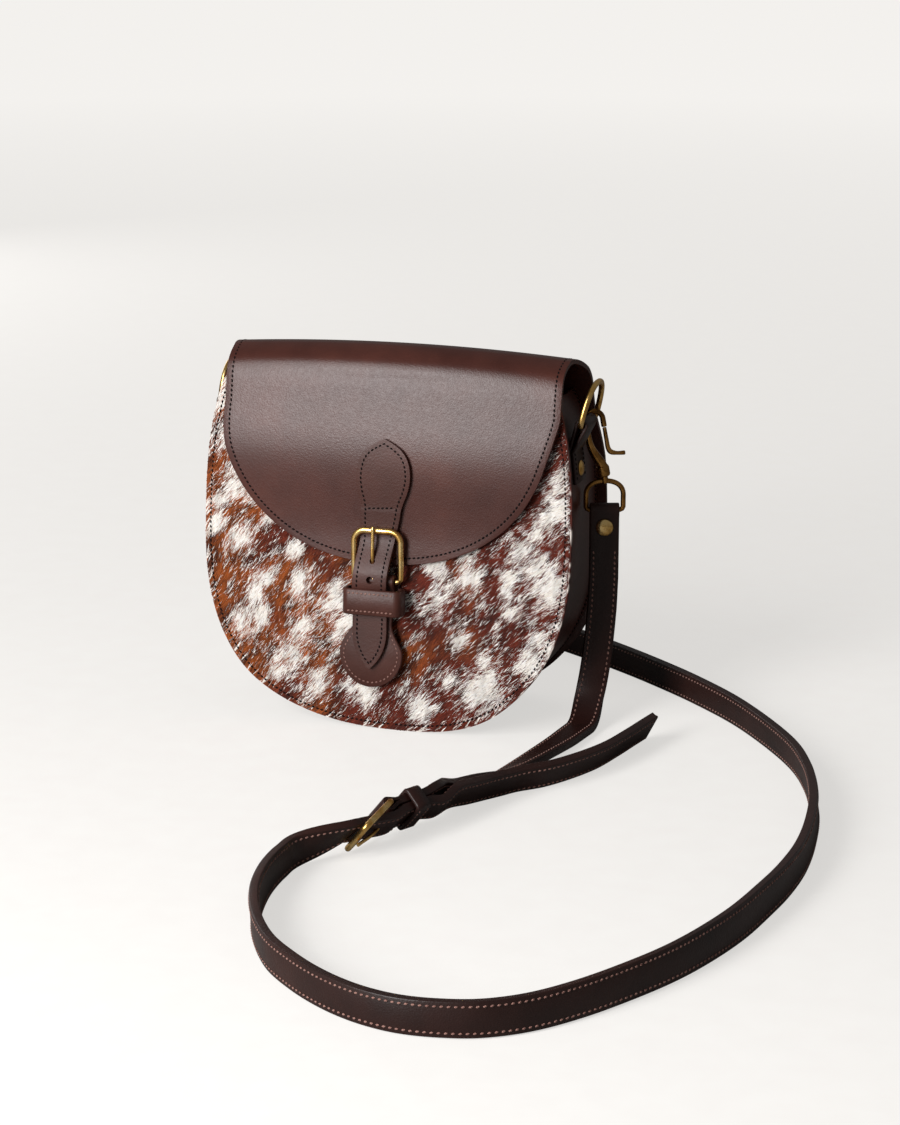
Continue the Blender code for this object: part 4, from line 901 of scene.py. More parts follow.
def makeGusset():
    outline = gussetOutline()
    spots = [(place, Vector((-along.z, 0, along.x)))
             for place, along in zip(outline, directions(outline))]
    rows = []
    for place, out in spots:
        soft = smoothShare(place.z, *gusset["sagFoot"])
        soft *= 1 - smoothShare(place.z, *gusset["sagTop"])
        rows.append([gussetPlace(place, share) - out * gusset["sag"] * soft * sin(pi * share) ** 2
                     for share in spread(0, 1, 14)])
    piece = meshFromRows("gusset_band", rows)
    if sum(face.normal.x * face.center.x for face in piece.data.polygons) < 0:
        turnOver(piece)
    thicken(piece, gusset["thickness"], edge=0.0004)
    finish(piece, "bag", [saddleLeather, leatherEdge], ["gusset"])
    lines = []
    for share in gusset["seams"]:
        line = [(gussetPlace(place, share) + out * stitch["bagLift"], out)
                for place, out in spots if place.z >= gusset["seamFoot"]]
        lines += [line[:len(line) // 2], line[len(line) // 2:]]
    makeStitches("gusset_stitches", lines, "bag", darkThread)


lining = dict(thickness=0.0010, inset=0.0105, topDrop=0.0080)


def backPlace(across, up, inward):
    height = backFoot + up * cos(bag["backLean"])
    return Vector((across, backFace(height), height)) - backOut * inward


def makeLinings():
    deep = bag["panelThickness"] + gap
    backTop = (saddle["rollStart"] - saddle["backDrop"] - backFoot) / cos(bag["backLean"])
    for wall, top, out, place, facing in (
            ("front", bag["height"] - lining["topDrop"], -deep, frontPlace, frontOut),
            ("back", backTop, deep, backPlace, backOut)):
        outline = evenly(panelOutline(lining["inset"], top), 200)
        sheet = panelSheet(wall + "_suede", outline, out, rings=8, place=place)
        faceTowards(sheet, facing)
        thicken(sheet, lining["thickness"], edge=0)
        finish(sheet, "bag", [brownSuede, brownSuede], [wall + "_lining"])


def makePanelStitches():
    spots = evenly(panelOutline(hide["stitchInset"], bag["height"] - hide["stitchDrop"]), 420)
    line = frontSeam((spot.x, spot.y, hide["stitchLift"]) for spot in spots)
    makeStitches("hide_stitches", [line], "bag", darkThread)


makeFrontPanel()
print("front panel made")
makeHairs()
print("hairs made")
makePanelStitches()
makeSaddle()
makeGusset()
makeLinings()
print("back, flap, gusset and linings made")


# Closure: leaf and strap in one piece, base tab, buckle, prong, keeper, snap

closure = dict(
    lowShift=-0.0045, highShift=0.0017, lowHeight=0.0700, highHeight=0.1500,
    leafThickness=0.0024, leafHalfWidth=0.0152, leafTop=0.1613, seam=0.1231,
    leafShares=[
        (0.000, 0.75), (0.100, 0.81), (0.250, 0.93), (0.430, 1.00), (0.600, 0.97),
        (0.740, 0.86), (0.850, 0.66), (0.940, 0.34), (1.000, 0.03),
    ],
    strapThickness=0.0026, halfWidth=0.0097, topHalfWidth=0.0113, neck=0.1020,
    shoulder=0.0560, tip=0.0350, tipRun=0.0213, holeRadius=0.0020, holeHeight=0.0847,
    prongHoleRadius=0.0016, seamReach=0.0078, full=0.0570, low=0.0691, stitchInset=0.0026,
    slimmer=0.0002, leafBend=0.1560, outlineTop=0.1610, narrowest=0.0001,
    bendStart=frontPlace(0, 0.1290, 0.004), bendEnd=frontPlace(0, 0.1150, 0.004),
)
baseTab = dict(thickness=0.0022, halfWidth=0.0180, neck=0.0101, neckHeight=0.0620,
               middle=0.0430, low=0.0243, lift=0.0046, turn=0.0796, stitchInset=0.0026)
buckle = dict(
    wireRadius=0.00155, heelRadius=0.0014, halfWidth=0.0133, corner=0.0062, lowCorner=0.0028,
    shift=-0.0014,
    heelHeight=0.0835, heelLift=0.0065, topHeight=0.1111, topLift=0.0083, prongRadius=0.0010,
    prongShift=-0.0031, slotLow=0.0905, slotHigh=0.0985, barClearance=0.0028,
)
closureBend = ("flap", "closure", closure["bendStart"], closure["bendEnd"])
leafLift = flapOut + gap + closure["leafThickness"] / 2
foldRadius = buckle["heelRadius"] + gap + baseTab["thickness"] / 2
lowLift = baseTab["lift"] + baseTab["thickness"] + gap + closure["strapThickness"] / 2
heelLift = buckle["heelLift"] + foldRadius + baseTab["thickness"] / 2 + gap
heelLift += closure["strapThickness"] / 2
topLift = flapOut + gap + closure["strapThickness"] / 2


def closureFace(up):
    # distance of the strap's or the leaf's outer face from the front panel
    if up > closure["seam"]:
        return leafLift + closure["leafThickness"] / 2 + flapBulge(up)
    return closureLift(up) + closure["strapThickness"] / 2 + flapBulge(up)


def closureMiddle(up):
    return between(closure["lowShift"], closure["highShift"], up, closure["lowHeight"],
                   closure["highHeight"])


def closureLift(up):
    clear = buckle["barClearance"]
    heel = buckle["heelHeight"]
    if up > closure["seam"]:
        return topLift
    if up > heel + clear:
        return between(heelLift, topLift, up, heel + clear, buckle["topHeight"] - clear)
    return between(lowLift, heelLift, up, closure["low"], heel)


def closureHalf(up):
    # half width of the closure strap with its leaf
    if up > closure["seam"]:
        share = (up - closure["seam"]) / (closure["leafTop"] - closure["seam"])
        ups, halves = zip(*smoothCurve(closure["leafShares"], 6))
        return closure["leafHalfWidth"] * float(np.interp(share, ups, halves))
    if up < closure["shoulder"]:
        share = (closure["shoulder"] - up) / (closure["shoulder"] - closure["tip"])
        return closure["halfWidth"] * max(1 - share ** 2.1, 0) ** 0.8
    return between(closure["halfWidth"], closure["topHalfWidth"], up, closure["neck"],
                   closure["seam"])


def insetEdge(points, inset):
    # a closed outline moved inward, with the places that would cross left out
    result = []
    for point, along in zip(points, directions(points, True)):
        spot = point + Vector((-along.y, along.x, 0)) * inset
        if min((spot - other).length for other in points) > inset * 0.96:
            result.append(spot)
    return result


def closureOutline():
    # places across and up round the strap, from its tip up the right and down the left
    ups = [closure["tip"] + closure["tipRun"] * (s / 16) ** 1.6 for s in range(17)]
    ups += spread(closure["full"], closure["outlineTop"], 90) + [closure["leafTop"]]
    right = [Vector((closureMiddle(up) + closureHalf(up), up, 0)) for up in ups]
    left = [Vector((closureMiddle(up) - closureHalf(up), up, 0)) for up in reversed(ups)]
    return right + left


def cutHole(piece, place, radius):
    # punches a round hole through the front
    deselectAll()
    bpy.ops.mesh.primitive_cylinder_add(vertices=28, radius=radius, depth=0.012, location=place)
    cutter = bpy.context.object
    cutter.rotation_mode = "QUATERNION"
    cutter.rotation_quaternion = frontOut.to_track_quat("Z", "Y")
    bpy.context.view_layer.update()
    applyModifier(piece, "BOOLEAN", operation="DIFFERENCE", solver="EXACT", object=cutter)
    bpy.data.objects.remove(cutter, do_unlink=True)


def makeClosureStrap():
    columns = 8
    tip = closure["tip"]
    ups = [tip + closure["tipRun"] * (s / 12) ** 1.8 for s in range(13)]
    ups += spread(closure["full"], closure["leafBend"], 76)
    ups += spread(closure["leafBend"], closure["leafTop"], 8)[1:]
    rows = []
    for up in ups:
        half = max(closureHalf(up), closure["narrowest"])
        rows.append([frontPlace(closureMiddle(up) + half * share, up, closureFace(up))
                     for share in spread(-1, 1, columns)])
    piece = meshFromRows("closure_strap_and_leaf", rows)
    faceTowards(piece, frontOut)
    thicken(piece, closure["strapThickness"] - closure["slimmer"], edge=0.0006, segments=3)
    up = closure["holeHeight"]
    cutHole(piece, frontPlace(closureMiddle(up) + 0.0003, up, closureLift(up)),
            closure["holeRadius"])
    up = (buckle["slotLow"] + buckle["slotHigh"]) / 2
    cutHole(piece, frontPlace(buckle["prongShift"], up + 0.0005, closureLift(up)),
            closure["prongHoleRadius"])
    smooth(piece)
    finish(piece, closureBend, [closureLeather, leatherEdge],
           ["closure_leaf", "closure_strap"])
    edge = insetEdge(closureOutline(), closure["stitchInset"])
    lines = [frontSeam((spot.x, spot.y, closureFace(spot.y) + stitch["lift"])
                       for spot in edge + edge[:1])]
    seam = []
    for share in spread(-1, 1, 11):
        across = closureMiddle(closure["seam"]) + share * closure["seamReach"]
        up = closure["seam"] + 0.0004 + 0.0006 * share
        seam.append((across, up, closureFace(up + 0.0010) + stitch["lift"]))
    lines.append(frontSeam(seam))
    makeStitches("closure_strap_stitches", lines, closureBend, darkThread, spacing=0.0025,
                 size=0.92)


def tabMiddle(up):
    return between(closureMiddle(up), buckle["shift"], up, baseTab["middle"], baseTab["turn"])


def tabHalf(up):
    return between(baseTab["halfWidth"], baseTab["neck"], up, baseTab["middle"],
                   baseTab["neckHeight"])


def makeBaseTab():
    lift = baseTab["lift"] + baseTab["thickness"] / 2
    low = baseTab["low"]
    neck = baseTab["neck"]
    heel = buckle["heelHeight"]
    heelOut = buckle["heelLift"]
    drop = baseTab["middle"] - low
    foot = roundFoot(baseTab["halfWidth"], drop, 2, 16)
    spots = [(low + rise, lift, max(half, 0.0002)) for rise, half in foot]
    neckUps = spread(baseTab["middle"], baseTab["neckHeight"], 14)[1:]
    spots += [(up, lift, tabHalf(up)) for up in neckUps]
    for share in spread(0, 0.9, 9):
        spots.append((heel - foldRadius * 2 * (1 - share),
                      between(lift, heelOut + foldRadius, share, 0, 1), neck))
    spots += [(heel + foldRadius * sin(angle), heelOut + foldRadius * cos(angle), neck)
              for angle in arc(0, 180, 14)]
    spots.append((heel - foldRadius, heelOut - foldRadius, neck))
    rows = [(frontPlace(tabMiddle(up), up, out), sideways, half, baseTab["thickness"])
            for up, out, half in spots]
    piece = strapMesh("closure_base_tab", rows, layers=1, corner=0.0007)
    finish(piece, "closure", [closureLeather], ["closure_base"])
    inset = baseTab["stitchInset"]
    surface = lift + baseTab["thickness"] / 2 + stitch["lift"]
    seam = [(half, low + inset + rise)
            for rise, half in roundFoot(baseTab["halfWidth"] - inset, drop - inset, 2, 24)]
    seam += [(tabHalf(up) - inset, up) for up in neckUps[:11]]
    lines = [frontSeam((tabMiddle(up) + side * half, up, surface) for half, up in seam)
             for side in (-1, 1)]
    makeStitches("closure_base_stitches", lines, "closure", paleThread, spacing=0.0025,
                 size=0.75)


def frameLine(half, low, high, corner, lowCorner, steps=10):
    # places across and up a rounded frame, starting in the middle of its foot
    points = [(0, low)]
    corners = ((1, low, lowCorner), (1, high, corner), (-1, high, corner), (-1, low, lowCorner))
    for quarter, (side, end, radius) in enumerate(corners):
        inward = 1 if end == low else -1
        for step in range(steps + 1):
            angle = pi / 2 * (quarter - 1 + step / steps)
            points.append((side * (half - radius) + radius * cos(angle),
                           end + inward * radius + radius * sin(angle)))
    return points


def makeClosureBuckle():
    low = buckle["heelHeight"]
    high = buckle["topHeight"]
    path = []
    radii = []
    for across, up in frameLine(buckle["halfWidth"], low, high, buckle["corner"],
                                buckle["lowCorner"]):
        share = (up - low) / (high - low)
        lift = buckle["heelLift"] + (buckle["topLift"] - buckle["heelLift"]) * share
        path.append(frontPlace(buckle["shift"] + across, up, lift))
        thick = 1.0 + 0.16 * share
        radii.append(buckle["wireRadius"] * thick if share > 0.05 else buckle["heelRadius"])
    slope = (path[len(path) // 2] - path[0]).normalized()
    plane = slope.cross(sideways).normalized()
    piece = wire("closure_buckle_frame", path, radii, plane, closed=True, flat=0.92)
    finish(piece, "closure", [agedBrass], ["closure_buckle"])


def makeClosureProng():
    reach = buckle["heelRadius"] + gap + buckle["prongRadius"]
    points = []
    for angle in map(radians, (215, 180, 140, 105, 75)):
        points.append((buckle["heelHeight"] + reach * cos(angle),
                       buckle["heelLift"] + reach * sin(angle)))
    half = closure["strapThickness"] / 2
    under = closureLift(buckle["slotLow"]) - half - buckle["prongRadius"] - gap
    over = closureLift(buckle["slotHigh"]) + half + buckle["prongRadius"] + gap
    rest = buckle["topLift"] + buckle["wireRadius"] * 1.07 + buckle["prongRadius"] + 0.0001
    points += [
        (buckle["slotLow"], under - gap),
        ((buckle["slotLow"] + buckle["slotHigh"]) / 2, (under + over) / 2 + gap),
        (buckle["slotHigh"] - buckle["prongRadius"], over + gap),
        (buckle["topHeight"] - 0.0014, rest), (buckle["topHeight"] + 0.0014, rest),
        (buckle["topHeight"] + 0.0026, rest - 0.0006),
    ]
    path = [frontPlace(buckle["prongShift"], up, out) for up, out in smoothCurve(points, 6)]
    radii = []
    for share in spread(0, 1, len(path) - 1):
        tip = max(1 - max(share - 0.96, 0) / 0.04 * 0.55, 0.3)
        radii.append(buckle["prongRadius"] * (1.12 - 0.12 * share) * tip)
    piece = wire("closure_buckle_prong", path, radii, sideways, sides=14)
    finish(piece, "closure", [agedBrass], ["closure_prong"])


keeper = dict(halfWidth=0.0168, shift=-0.0024, low=0.0655, high=0.0796, thickness=0.0018,
              backLift=0.0023, frontLift=0.0150, corner=0.0042, innerCorner=0.0030,
              stitchInset=0.0022, stitchMargin=0.0032)


def makeLoop(name, outer, inner, ends, edge, soft, placeAt, bodyName, material, node):
    # a keeper's band between its outer and inner line, with softened outer edges
    near, far = ends
    rows = []
    for out, into in zip(outer, inner):
        rounded = [a + (b - a) * soft for a, b in zip(out, into)]
        rows.append([placeAt(run, *spot) for run, spot in (
            (near, rounded), (near + edge, out), (far - edge, out), (far, rounded), (far, into),
            (near, into))])
    piece = meshFromRows(name, rows, around=True, loop=True, angle=50)
    finish(piece, bodyName, [material], [node])


def keeperPlace(up, across, out):
    return frontPlace(keeper["shift"] + across, up, out)


def makeClosureKeeper():
    wall = keeper["thickness"]
    half = keeper["halfWidth"]
    low = keeper["backLift"]
    high = keeper["frontLift"]
    outer = frameLine(half, low, high, keeper["corner"], keeper["corner"], 8)
    inner = frameLine(half - wall, low + wall, high - wall, keeper["innerCorner"],
                      keeper["innerCorner"], 8)
    makeLoop("closure_keeper_loop", outer, inner, (keeper["low"], keeper["high"]), 0.0006,
             0.0005 / wall, keeperPlace, "closure", closureLeather, "closure_keeper")
    reach = half - keeper["stitchMargin"]
    lines = [[(keeperPlace(up, share * reach, high + stitch["lift"]), frontOut)
              for share in spread(-1, 1, 24)]
             for up in (keeper["low"] + keeper["stitchInset"],
                        keeper["high"] - keeper["stitchInset"])]
    makeStitches("closure_keeper_stitches", lines, "closure", paleThread, spacing=0.0024,
                 size=0.85)


snap = dict(height=0.0450, discRadius=0.0090, disc=0.0017, socket=0.0020, nippleRadius=0.0029,
            nippleTip=0.0020, nipple=0.0016, shank=0.0022, washerRadius=0.0070, washer=0.0008)


def makeSnap():
    place = frontPlace(closureMiddle(snap["height"]), snap["height"], 0)
    back = baseTab["lift"] - gap
    front = back - snap["disc"]
    stud = [
        (poleRadius, front - snap["nipple"]), (snap["nippleTip"] * 0.8, front - snap["nipple"]),
        (snap["nippleTip"], front - snap["nipple"] + 0.0003), (snap["nippleRadius"], front),
        (snap["discRadius"] - 0.0006, front), (snap["discRadius"], front + 0.0005),
        (snap["discRadius"], back - 0.0003), (snap["discRadius"] - 0.0003, back),
        (poleRadius, back),
    ]
    mouth = snap["nippleRadius"] + gap
    floor = -bag["panelThickness"] - lining["thickness"] - gap * 2
    top = gap + snap["socket"]
    socket = [
        (poleRadius, floor), (snap["shank"], floor), (snap["shank"], gap),
        (snap["discRadius"] - 0.0004, gap), (snap["discRadius"], gap + 0.0006),
        (snap["discRadius"] - 0.0008, top), (mouth + 0.0006, top), (mouth, top - 0.0004),
        (mouth, gap * 2), (poleRadius, gap * 2),
    ]
    washerTop = floor - gap
    washer = [
        (poleRadius, washerTop - snap["washer"]),
        (snap["washerRadius"] - 0.0003, washerTop - snap["washer"]),
        (snap["washerRadius"], washerTop - snap["washer"] / 2),
        (snap["washerRadius"] - 0.0002, washerTop), (poleRadius, washerTop),
    ]
    for name, profile, bodyName, node in (
            ("snap_stud_cap", stud, "closure", "snap_stud"),
            ("snap_socket_cup", socket, "bag", "snap_socket"),
            ("snap_washer_disc", washer, "bag", "snap_washer")):
        piece = turned(name, profile, place, frontOut)
        finish(piece, bodyName, [nickelSteel], [node])


makeClosureStrap()
makeBaseTab()
makeClosureBuckle()
makeClosureProng()
makeClosureKeeper()
makeSnap()
print("closure made")


# Rings, their tabs, and the swivel hooks, given for the right side

ring = dict(wireRadius=0.0016, halfWidth=0.0164, height=0.0226, barHeight=0.1710,
            middle=-0.0075, roundness=2.3)
# the left ring stands closer, further back and upright, as the strap leads behind the bag
stance = {
    1: dict(lean=radians(13.8), standoff=0.01087, shift=0, hookPlace=0.0045,
            turn=radians(19.0), tilt=radians(10.5)),
    -1: dict(lean=radians(-6.0), standoff=0.0075, shift=0.0050, hookPlace=0.0080,
             turn=radians(36.0), tilt=radians(15.8)),
}
tab = dict(thickness=0.0018, width=0.0200, middle=-0.0115, low=0.1390, leave=0.1560,
           seamReach=0.0078, seamFoot=0.0020, rivetHeight=0.1460, rivetRadius=0.0042,
           rivetDome=0.0016)
hook = dict(wireRadius=0.0015, mouth=0.0032, nose=0.0060, spine=0.0150, trunk=0.0030,
            collar=0.0036, collarTop=0.0270, collarEnd=0.0330, lever=0.0012, pivotDrop=0.0205,
            pivotReach=0.0048, leverReach=0.0135, leverDrop=0.0222)
eye = dict(wireRadius=0.0014, halfWidth=0.0101, height=0.0160, postRadius=0.0020,
           postRise=0.0024)


def sideName(side):
    return "right" if side > 0 else "left"


def mirrored(place, side):
    return Vector((place.x * side, place.y, place.z))


def gussetFace(height):
    return panelHalfWidth(height) - gusset["inset"]


def barReach(side):
    return gussetFace(ring["barHeight"]) + stance[side]["standoff"]


def arch(half, base, rise, steps):
    # places across and up a squarish arch, from its right foot to its left one
    points = []
    for angle in arc(0, 180, steps):
        reach = abs(cos(angle)) ** (2 / ring["roundness"]) * (1 if cos(angle) > 0 else -1)
        points.append((half * reach, base + rise * max(sin(angle), 0) ** (2 / ring["roundness"])))
    return points


def makeRing(side):
    lean = stance[side]["lean"]
    up = Vector((sin(lean), 0, cos(lean)))
    along = Vector((0, 1, 0))
    foot = Vector((barReach(side), ring["middle"] + stance[side]["shift"], ring["barHeight"]))
    corner = ring["wireRadius"] * 2
    half = ring["halfWidth"]
    points = arch(half, corner, ring["height"] - corner, 48)
    points += [(-half + corner / 4, corner / 4), (-half + corner, 0), (0, 0),
               (half - corner, 0), (half - corner / 4, corner / 4)]
    path = [mirrored(foot + along * y + up * z, side) for y, z in points]
    name = sideName(side)
    piece = wire("ring_" + name, path, [ring["wireRadius"]] * len(path),
                 mirrored(along.cross(up), side), closed=True)
    finish(piece, "ring_" + name, [agedBrass], ["d_ring_" + name])


def rivetShape(name, place, axis, radius, dome, low, high, nodes):
    # a rivet with a domed cap at both ends of its post
    cap = [(poleRadius, dome)] + [(radius * cos(a), dome * sin(a)) for a in arc(75, 0, 5)]
    cap += [(radius - 0.0003, 0), (0.0014, 0)]
    profile = [(reach, low - rise) for reach, rise in cap]
    profile += [(reach, high + rise) for reach, rise in reversed(cap)]
    finish(turned(name, profile, place, axis), "bag", [agedBrass], nodes)


def makeRingTab(side):
    back = gap + tab["thickness"] / 2
    front = back + tab["thickness"] + gap
    surface = front + tab["thickness"] / 2
    fold = ring["wireRadius"] + gap + tab["thickness"] / 2
    heights = spread(tab["low"], tab["leave"], 6)
    points = [(gussetFace(height) + back, height) for height in heights]
    points += [(barReach(side) + fold * cos(angle), ring["barHeight"] + fold * sin(angle))
               for angle in arc(180, 0, 16)]
    points += [(gussetFace(height) + front, height) for height in reversed(heights)]
    middle = tab["middle"] + stance[side]["shift"]
    rows = [(mirrored(Vector((x, middle, z)), side), Vector((0, 1, 0)), tab["width"] / 2,
             tab["thickness"]) for x, z in points]
    name = sideName(side)
    piece = strapMesh("ring_tab_leather_" + name, rows, layers=1)
    finish(piece, "bag", [strapLeather], ["ring_tab_" + name])
    height = tab["rivetHeight"]
    reach = tab["rivetRadius"]
    slope = (gussetFace(height + reach) - gussetFace(height - reach)) / (2 * reach)
    out = mirrored(Vector((1, 0, -slope)).normalized(), side)
    place = mirrored(Vector((gussetFace(height), middle, height)), side)
    rivetShape("ring_rivet_" + name, place, out, reach, tab["rivetDome"],
               -gusset["thickness"] - gap, surface + gap, ["ring_tab_" + name + "_rivet"])
    lines = [[(mirrored(Vector((gussetFace(spot) + surface + stitch["lift"],
                                middle + edge * tab["seamReach"], spot)), side), out)
              for spot in spread(tab["low"] + tab["seamFoot"], tab["leave"], 8)]
             for edge in (-1, 1)]
    makeStitches("ring_tab_stitches_" + name, lines, "bag", darkThread)


def hookFrame(side):
    turn = stance[side]["turn"]
    tilt = stance[side]["tilt"]
    flat = Vector((cos(turn), sin(turn), 0))
    up = worldUp * cos(tilt) - flat * sin(tilt)
    out = flat * cos(tilt) + worldUp * sin(tilt)
    origin = Vector((barReach(side), stance[side]["hookPlace"], ring["barHeight"]))
    three = [mirrored(v, side) for v in (origin, out, up)]
    return (*three, three[1].cross(three[2]))


def hookWire(name, frame, curve, sides):
    # a wire in the hook's own plane, from rows of reach, rise and radius
    origin, out, up, plane = frame
    path = [origin + out * x + up * z for x, z, radius in curve]
    return wire(name, path, [radius for x, z, radius in curve], plane, sides=sides)


def makeHook(side):
    frame = hookFrame(side)
    name = sideName(side)
    bend = hook["mouth"] + hook["wireRadius"]
    sink = hook["mouth"] - ring["wireRadius"] - gap
    thick = hook["wireRadius"]
    top = hook["collarTop"]
    end = hook["collarEnd"]
    points = [(bend, -hook["nose"], thick * 0.8), (bend, -hook["nose"] + 0.0006, thick),
              (bend, -sink, thick)]
    for angle in arc(0, 180, 12)[1:-1]:
        points.append((bend * cos(angle), bend * sin(angle) - sink, thick))
    points += [
        (-bend, -sink, thick), (-bend, -hook["spine"] * 0.5, thick * 1.1),
        (-bend * 0.95, -hook["spine"], thick * 1.3),
        (-bend * 0.55, -(hook["spine"] + top) / 2, hook["trunk"] * 0.85),
        (-bend * 0.12, -top + 0.0016, hook["trunk"] * 0.95),
    ]
    curve = smoothCurve(points, 4) + [(0, -top - 0.0001, hook["trunk"] * 0.92)]
    curve += [(0, z, hook["collar"] * share) for z, share in (
        (-top - 0.0005, 0.94), (-top - 0.0012, 1), (-end + 0.0010, 1), (-end + 0.0004, 0.95),
        (-end, 0.82))]
    piece = hookWire("hook_" + name, frame, curve, 20)
    smooth(piece, 45)
    finish(piece, "hook_" + name, [shadedHookBrass], ["hook_body_" + name])
    gateTop = -hook["nose"] - gap * 2
    pivot = -hook["pivotDrop"]
    lever = hook["lever"]
    gate = [
        (bend, gateTop, 0.9), (bend, (gateTop + pivot) / 2, 1),
        (hook["pivotReach"], pivot + lever * 2, 1.1), (hook["pivotReach"] + lever, pivot, 1.2),
        ((hook["pivotReach"] + hook["leverReach"]) / 2, pivot - lever, 0.9),
        (hook["leverReach"] - 0.0008, -hook["leverDrop"], 1.0),
        (hook["leverReach"], -hook["leverDrop"] - 0.0001, 0.7),
    ]
    curve = [(x, z, lever * share) for x, z, share in smoothCurve(gate, 6)]
    piece = hookWire("hook_gate_" + name, frame, curve, 14)
    finish(piece, "lever_" + name, [shadedHookBrass], ["hook_lever_" + name])


def eyeFrame(side):
    origin, out, up, plane = hookFrame(side)
    top = origin - up * (hook["collarEnd"] + gap + eye["postRise"])
    flat = Vector((out.x, out.y, 0)).normalized()
    return top, flat, flat.cross(worldUp)


def makeEye(side):
    top, out, plane = eyeFrame(side)
    name = sideName(side)
    rise = eye["height"] / 2
    points = arch(eye["halfWidth"], rise - eye["height"], rise, 40)
    corner = eye["wireRadius"] * 1.1
    half = eye["halfWidth"]
    low = -eye["height"]
    points += [
        (-half, low + corner), (-half + corner / 3, low + corner / 3), (-half + corner, low),
        (0, low), (half - corner, low), (half - corner / 3, low + corner / 3),
        (half, low + corner),
    ]
    path = [top + out * x + worldUp * z for x, z in points]
    piece = wire("swivel_eye_" + name, path, [eye["wireRadius"]] * len(path), plane, closed=True)
    axis = hookFrame(side)[2]
    profile = [
        (poleRadius, -eye["wireRadius"]), (eye["postRadius"] * 0.9, -eye["wireRadius"] * 0.8),
        (eye["postRadius"], 0), (eye["postRadius"], eye["postRise"]),
        (poleRadius, eye["postRise"]),
    ]
    post = turned("swivel_post_" + name, profile, top, axis)
    finish(post, "bag", [shadedHookBrass])
    finish(piece, "bag", [shadedHookBrass], ["hook_eye_" + name])


for side in (1, -1):
    makeRing(side)
    makeRingTab(side)
    makeHook(side)
    makeEye(side)
print("rings and hooks made")


# Shoulder strap, two layers sewn together

strap = dict(
    width=0.0160, layer=0.0020, layerGap=0.0003, foldLength=0.0200, hang=0.0950,
    rivetRadius=0.0048, rivetDome=0.0020, rivetDrop=0.0095, stitchInset=0.0022,
    routeLength=0.1000, steps=8, easedRows=(6, 60), longEasing=32, shortEasing=24,
)
strapThickness = strap["layer"] * 2 + strap["layerGap"]
layerOffset = (strap["layer"] + strap["layerGap"]) / 2
# The route on the ground, the same as in the solids, in steps of the route length:
# across, away, lift of the lower edge, lean in degrees
longRoute = [
    (-0.990, 0.330, 0.000, 86), (-0.985, 0.520, 0.000, 70), (-0.950, 0.720, 0.000, 40),
    (-0.880, 0.930, 0.000, 12), (-0.750, 1.150, 0.000, 2), (-0.560, 1.350, 0.000, 0),
    (-0.330, 1.480, 0.000, 0), (-0.080, 1.530, 0.000, 0), (0.170, 1.490, 0.000, 1),
    (0.390, 1.400, 0.000, 1), (0.580, 1.290, 0.000, 2), (0.930, 1.040, 0.000, 3),
    (1.240, 0.790, 0.000, 3), (1.570, 0.490, 0.000, 3), (1.900, 0.130, 0.000, 4),
    (2.250, -0.380, 0.000, 4), (2.430, -0.780, 0.000, 4), (2.545, -1.200, 0.000, 4),
    (2.605, -1.600, 0.000, 5), (2.628, -1.960, 0.000, 6), (2.615, -2.280, 0.000, 8),
    (2.580, -2.560, 0.000, 10), (2.530, -2.860, 0.000, 12), (2.450, -3.150, 0.000, 12),
    (2.350, -3.410, 0.000, 10), (2.220, -3.660, 0.000, 8), (2.070, -3.900, 0.000, 6),
    (1.910, -4.090, 0.000, 4), (1.740, -4.210, 0.000, 3), (1.570, -4.260, 0.000, 2),
    (1.400, -4.270, 0.000, 1), (1.240, -4.235, 0.000, 0), (1.090, -4.170, 0.000, 0),
    (0.940, -4.075, 0.000, 0), (0.800, -3.960, 0.000, 0), (0.670, -3.830, 0.000, -1),
    (0.570, -3.690, 0.000, -2), (0.475, -3.520, 0.000, -3), (0.400, -3.340, 0.000, -4),
    (0.350, -3.170, 0.000, -5), (0.312, -2.960, 0.000, -5), (0.300, -2.750, 0.000, -3),
    (0.318, -2.600, 0.010, 4),
]
tailRoute = [
    (0.778, -1.710, 0.045, 33), (0.832, -1.570, 0.025, 30), (0.884, -1.440, 0.010, 28),
    (0.940, -1.330, 0.002, 28), (1.000, -1.235, 0.000, 28), (1.110, -1.120, 0.000, 28),
    (1.210, -0.950, 0.000, 28), (1.290, -0.760, 0.000, 28), (1.345, -0.540, 0.002, 28),
    (1.385, -0.350, 0.004, 28), (1.415, -0.215, 0.006, 28),
]
shortRoute = [
    (0.985, -0.120, 0.000, -88), (0.965, -0.270, 0.000, -87), (0.948, -0.450, 0.000, -85),
    (0.918, -0.650, 0.000, -80), (0.886, -0.850, 0.000, -76), (0.852, -1.050, 0.000, -70),
    (0.820, -1.220, 0.000, -60), (0.785, -1.360, 0.000, -46), (0.758, -1.490, 0.000, -32),
    (0.728, -1.600, 0.012, -28), (0.695, -1.700, 0.045, -30),
]
link = dict(
    place=(0.570, -2.275, 0.131), run=(0.172, 0.962, 0.212), across=(0.606, -0.273, 0.746),
    wireRadius=0.0016, halfLength=0.0130, halfWidth=0.0106, corner=0.0034,
    pitch=radians(20.0), prongRadius=0.0009, pitchShare=1.06, loopThickness=0.0016,
    loopWidth=0.0090, loopSlack=0.0008, loopDistance=0.0170, loopRun=0.0260,
    loopSpread=0.0015, loopSeam=0.0016,
)


def eyeBar(side):
    top, out, plane = eyeFrame(side)
    return top - worldUp * eye["height"], out


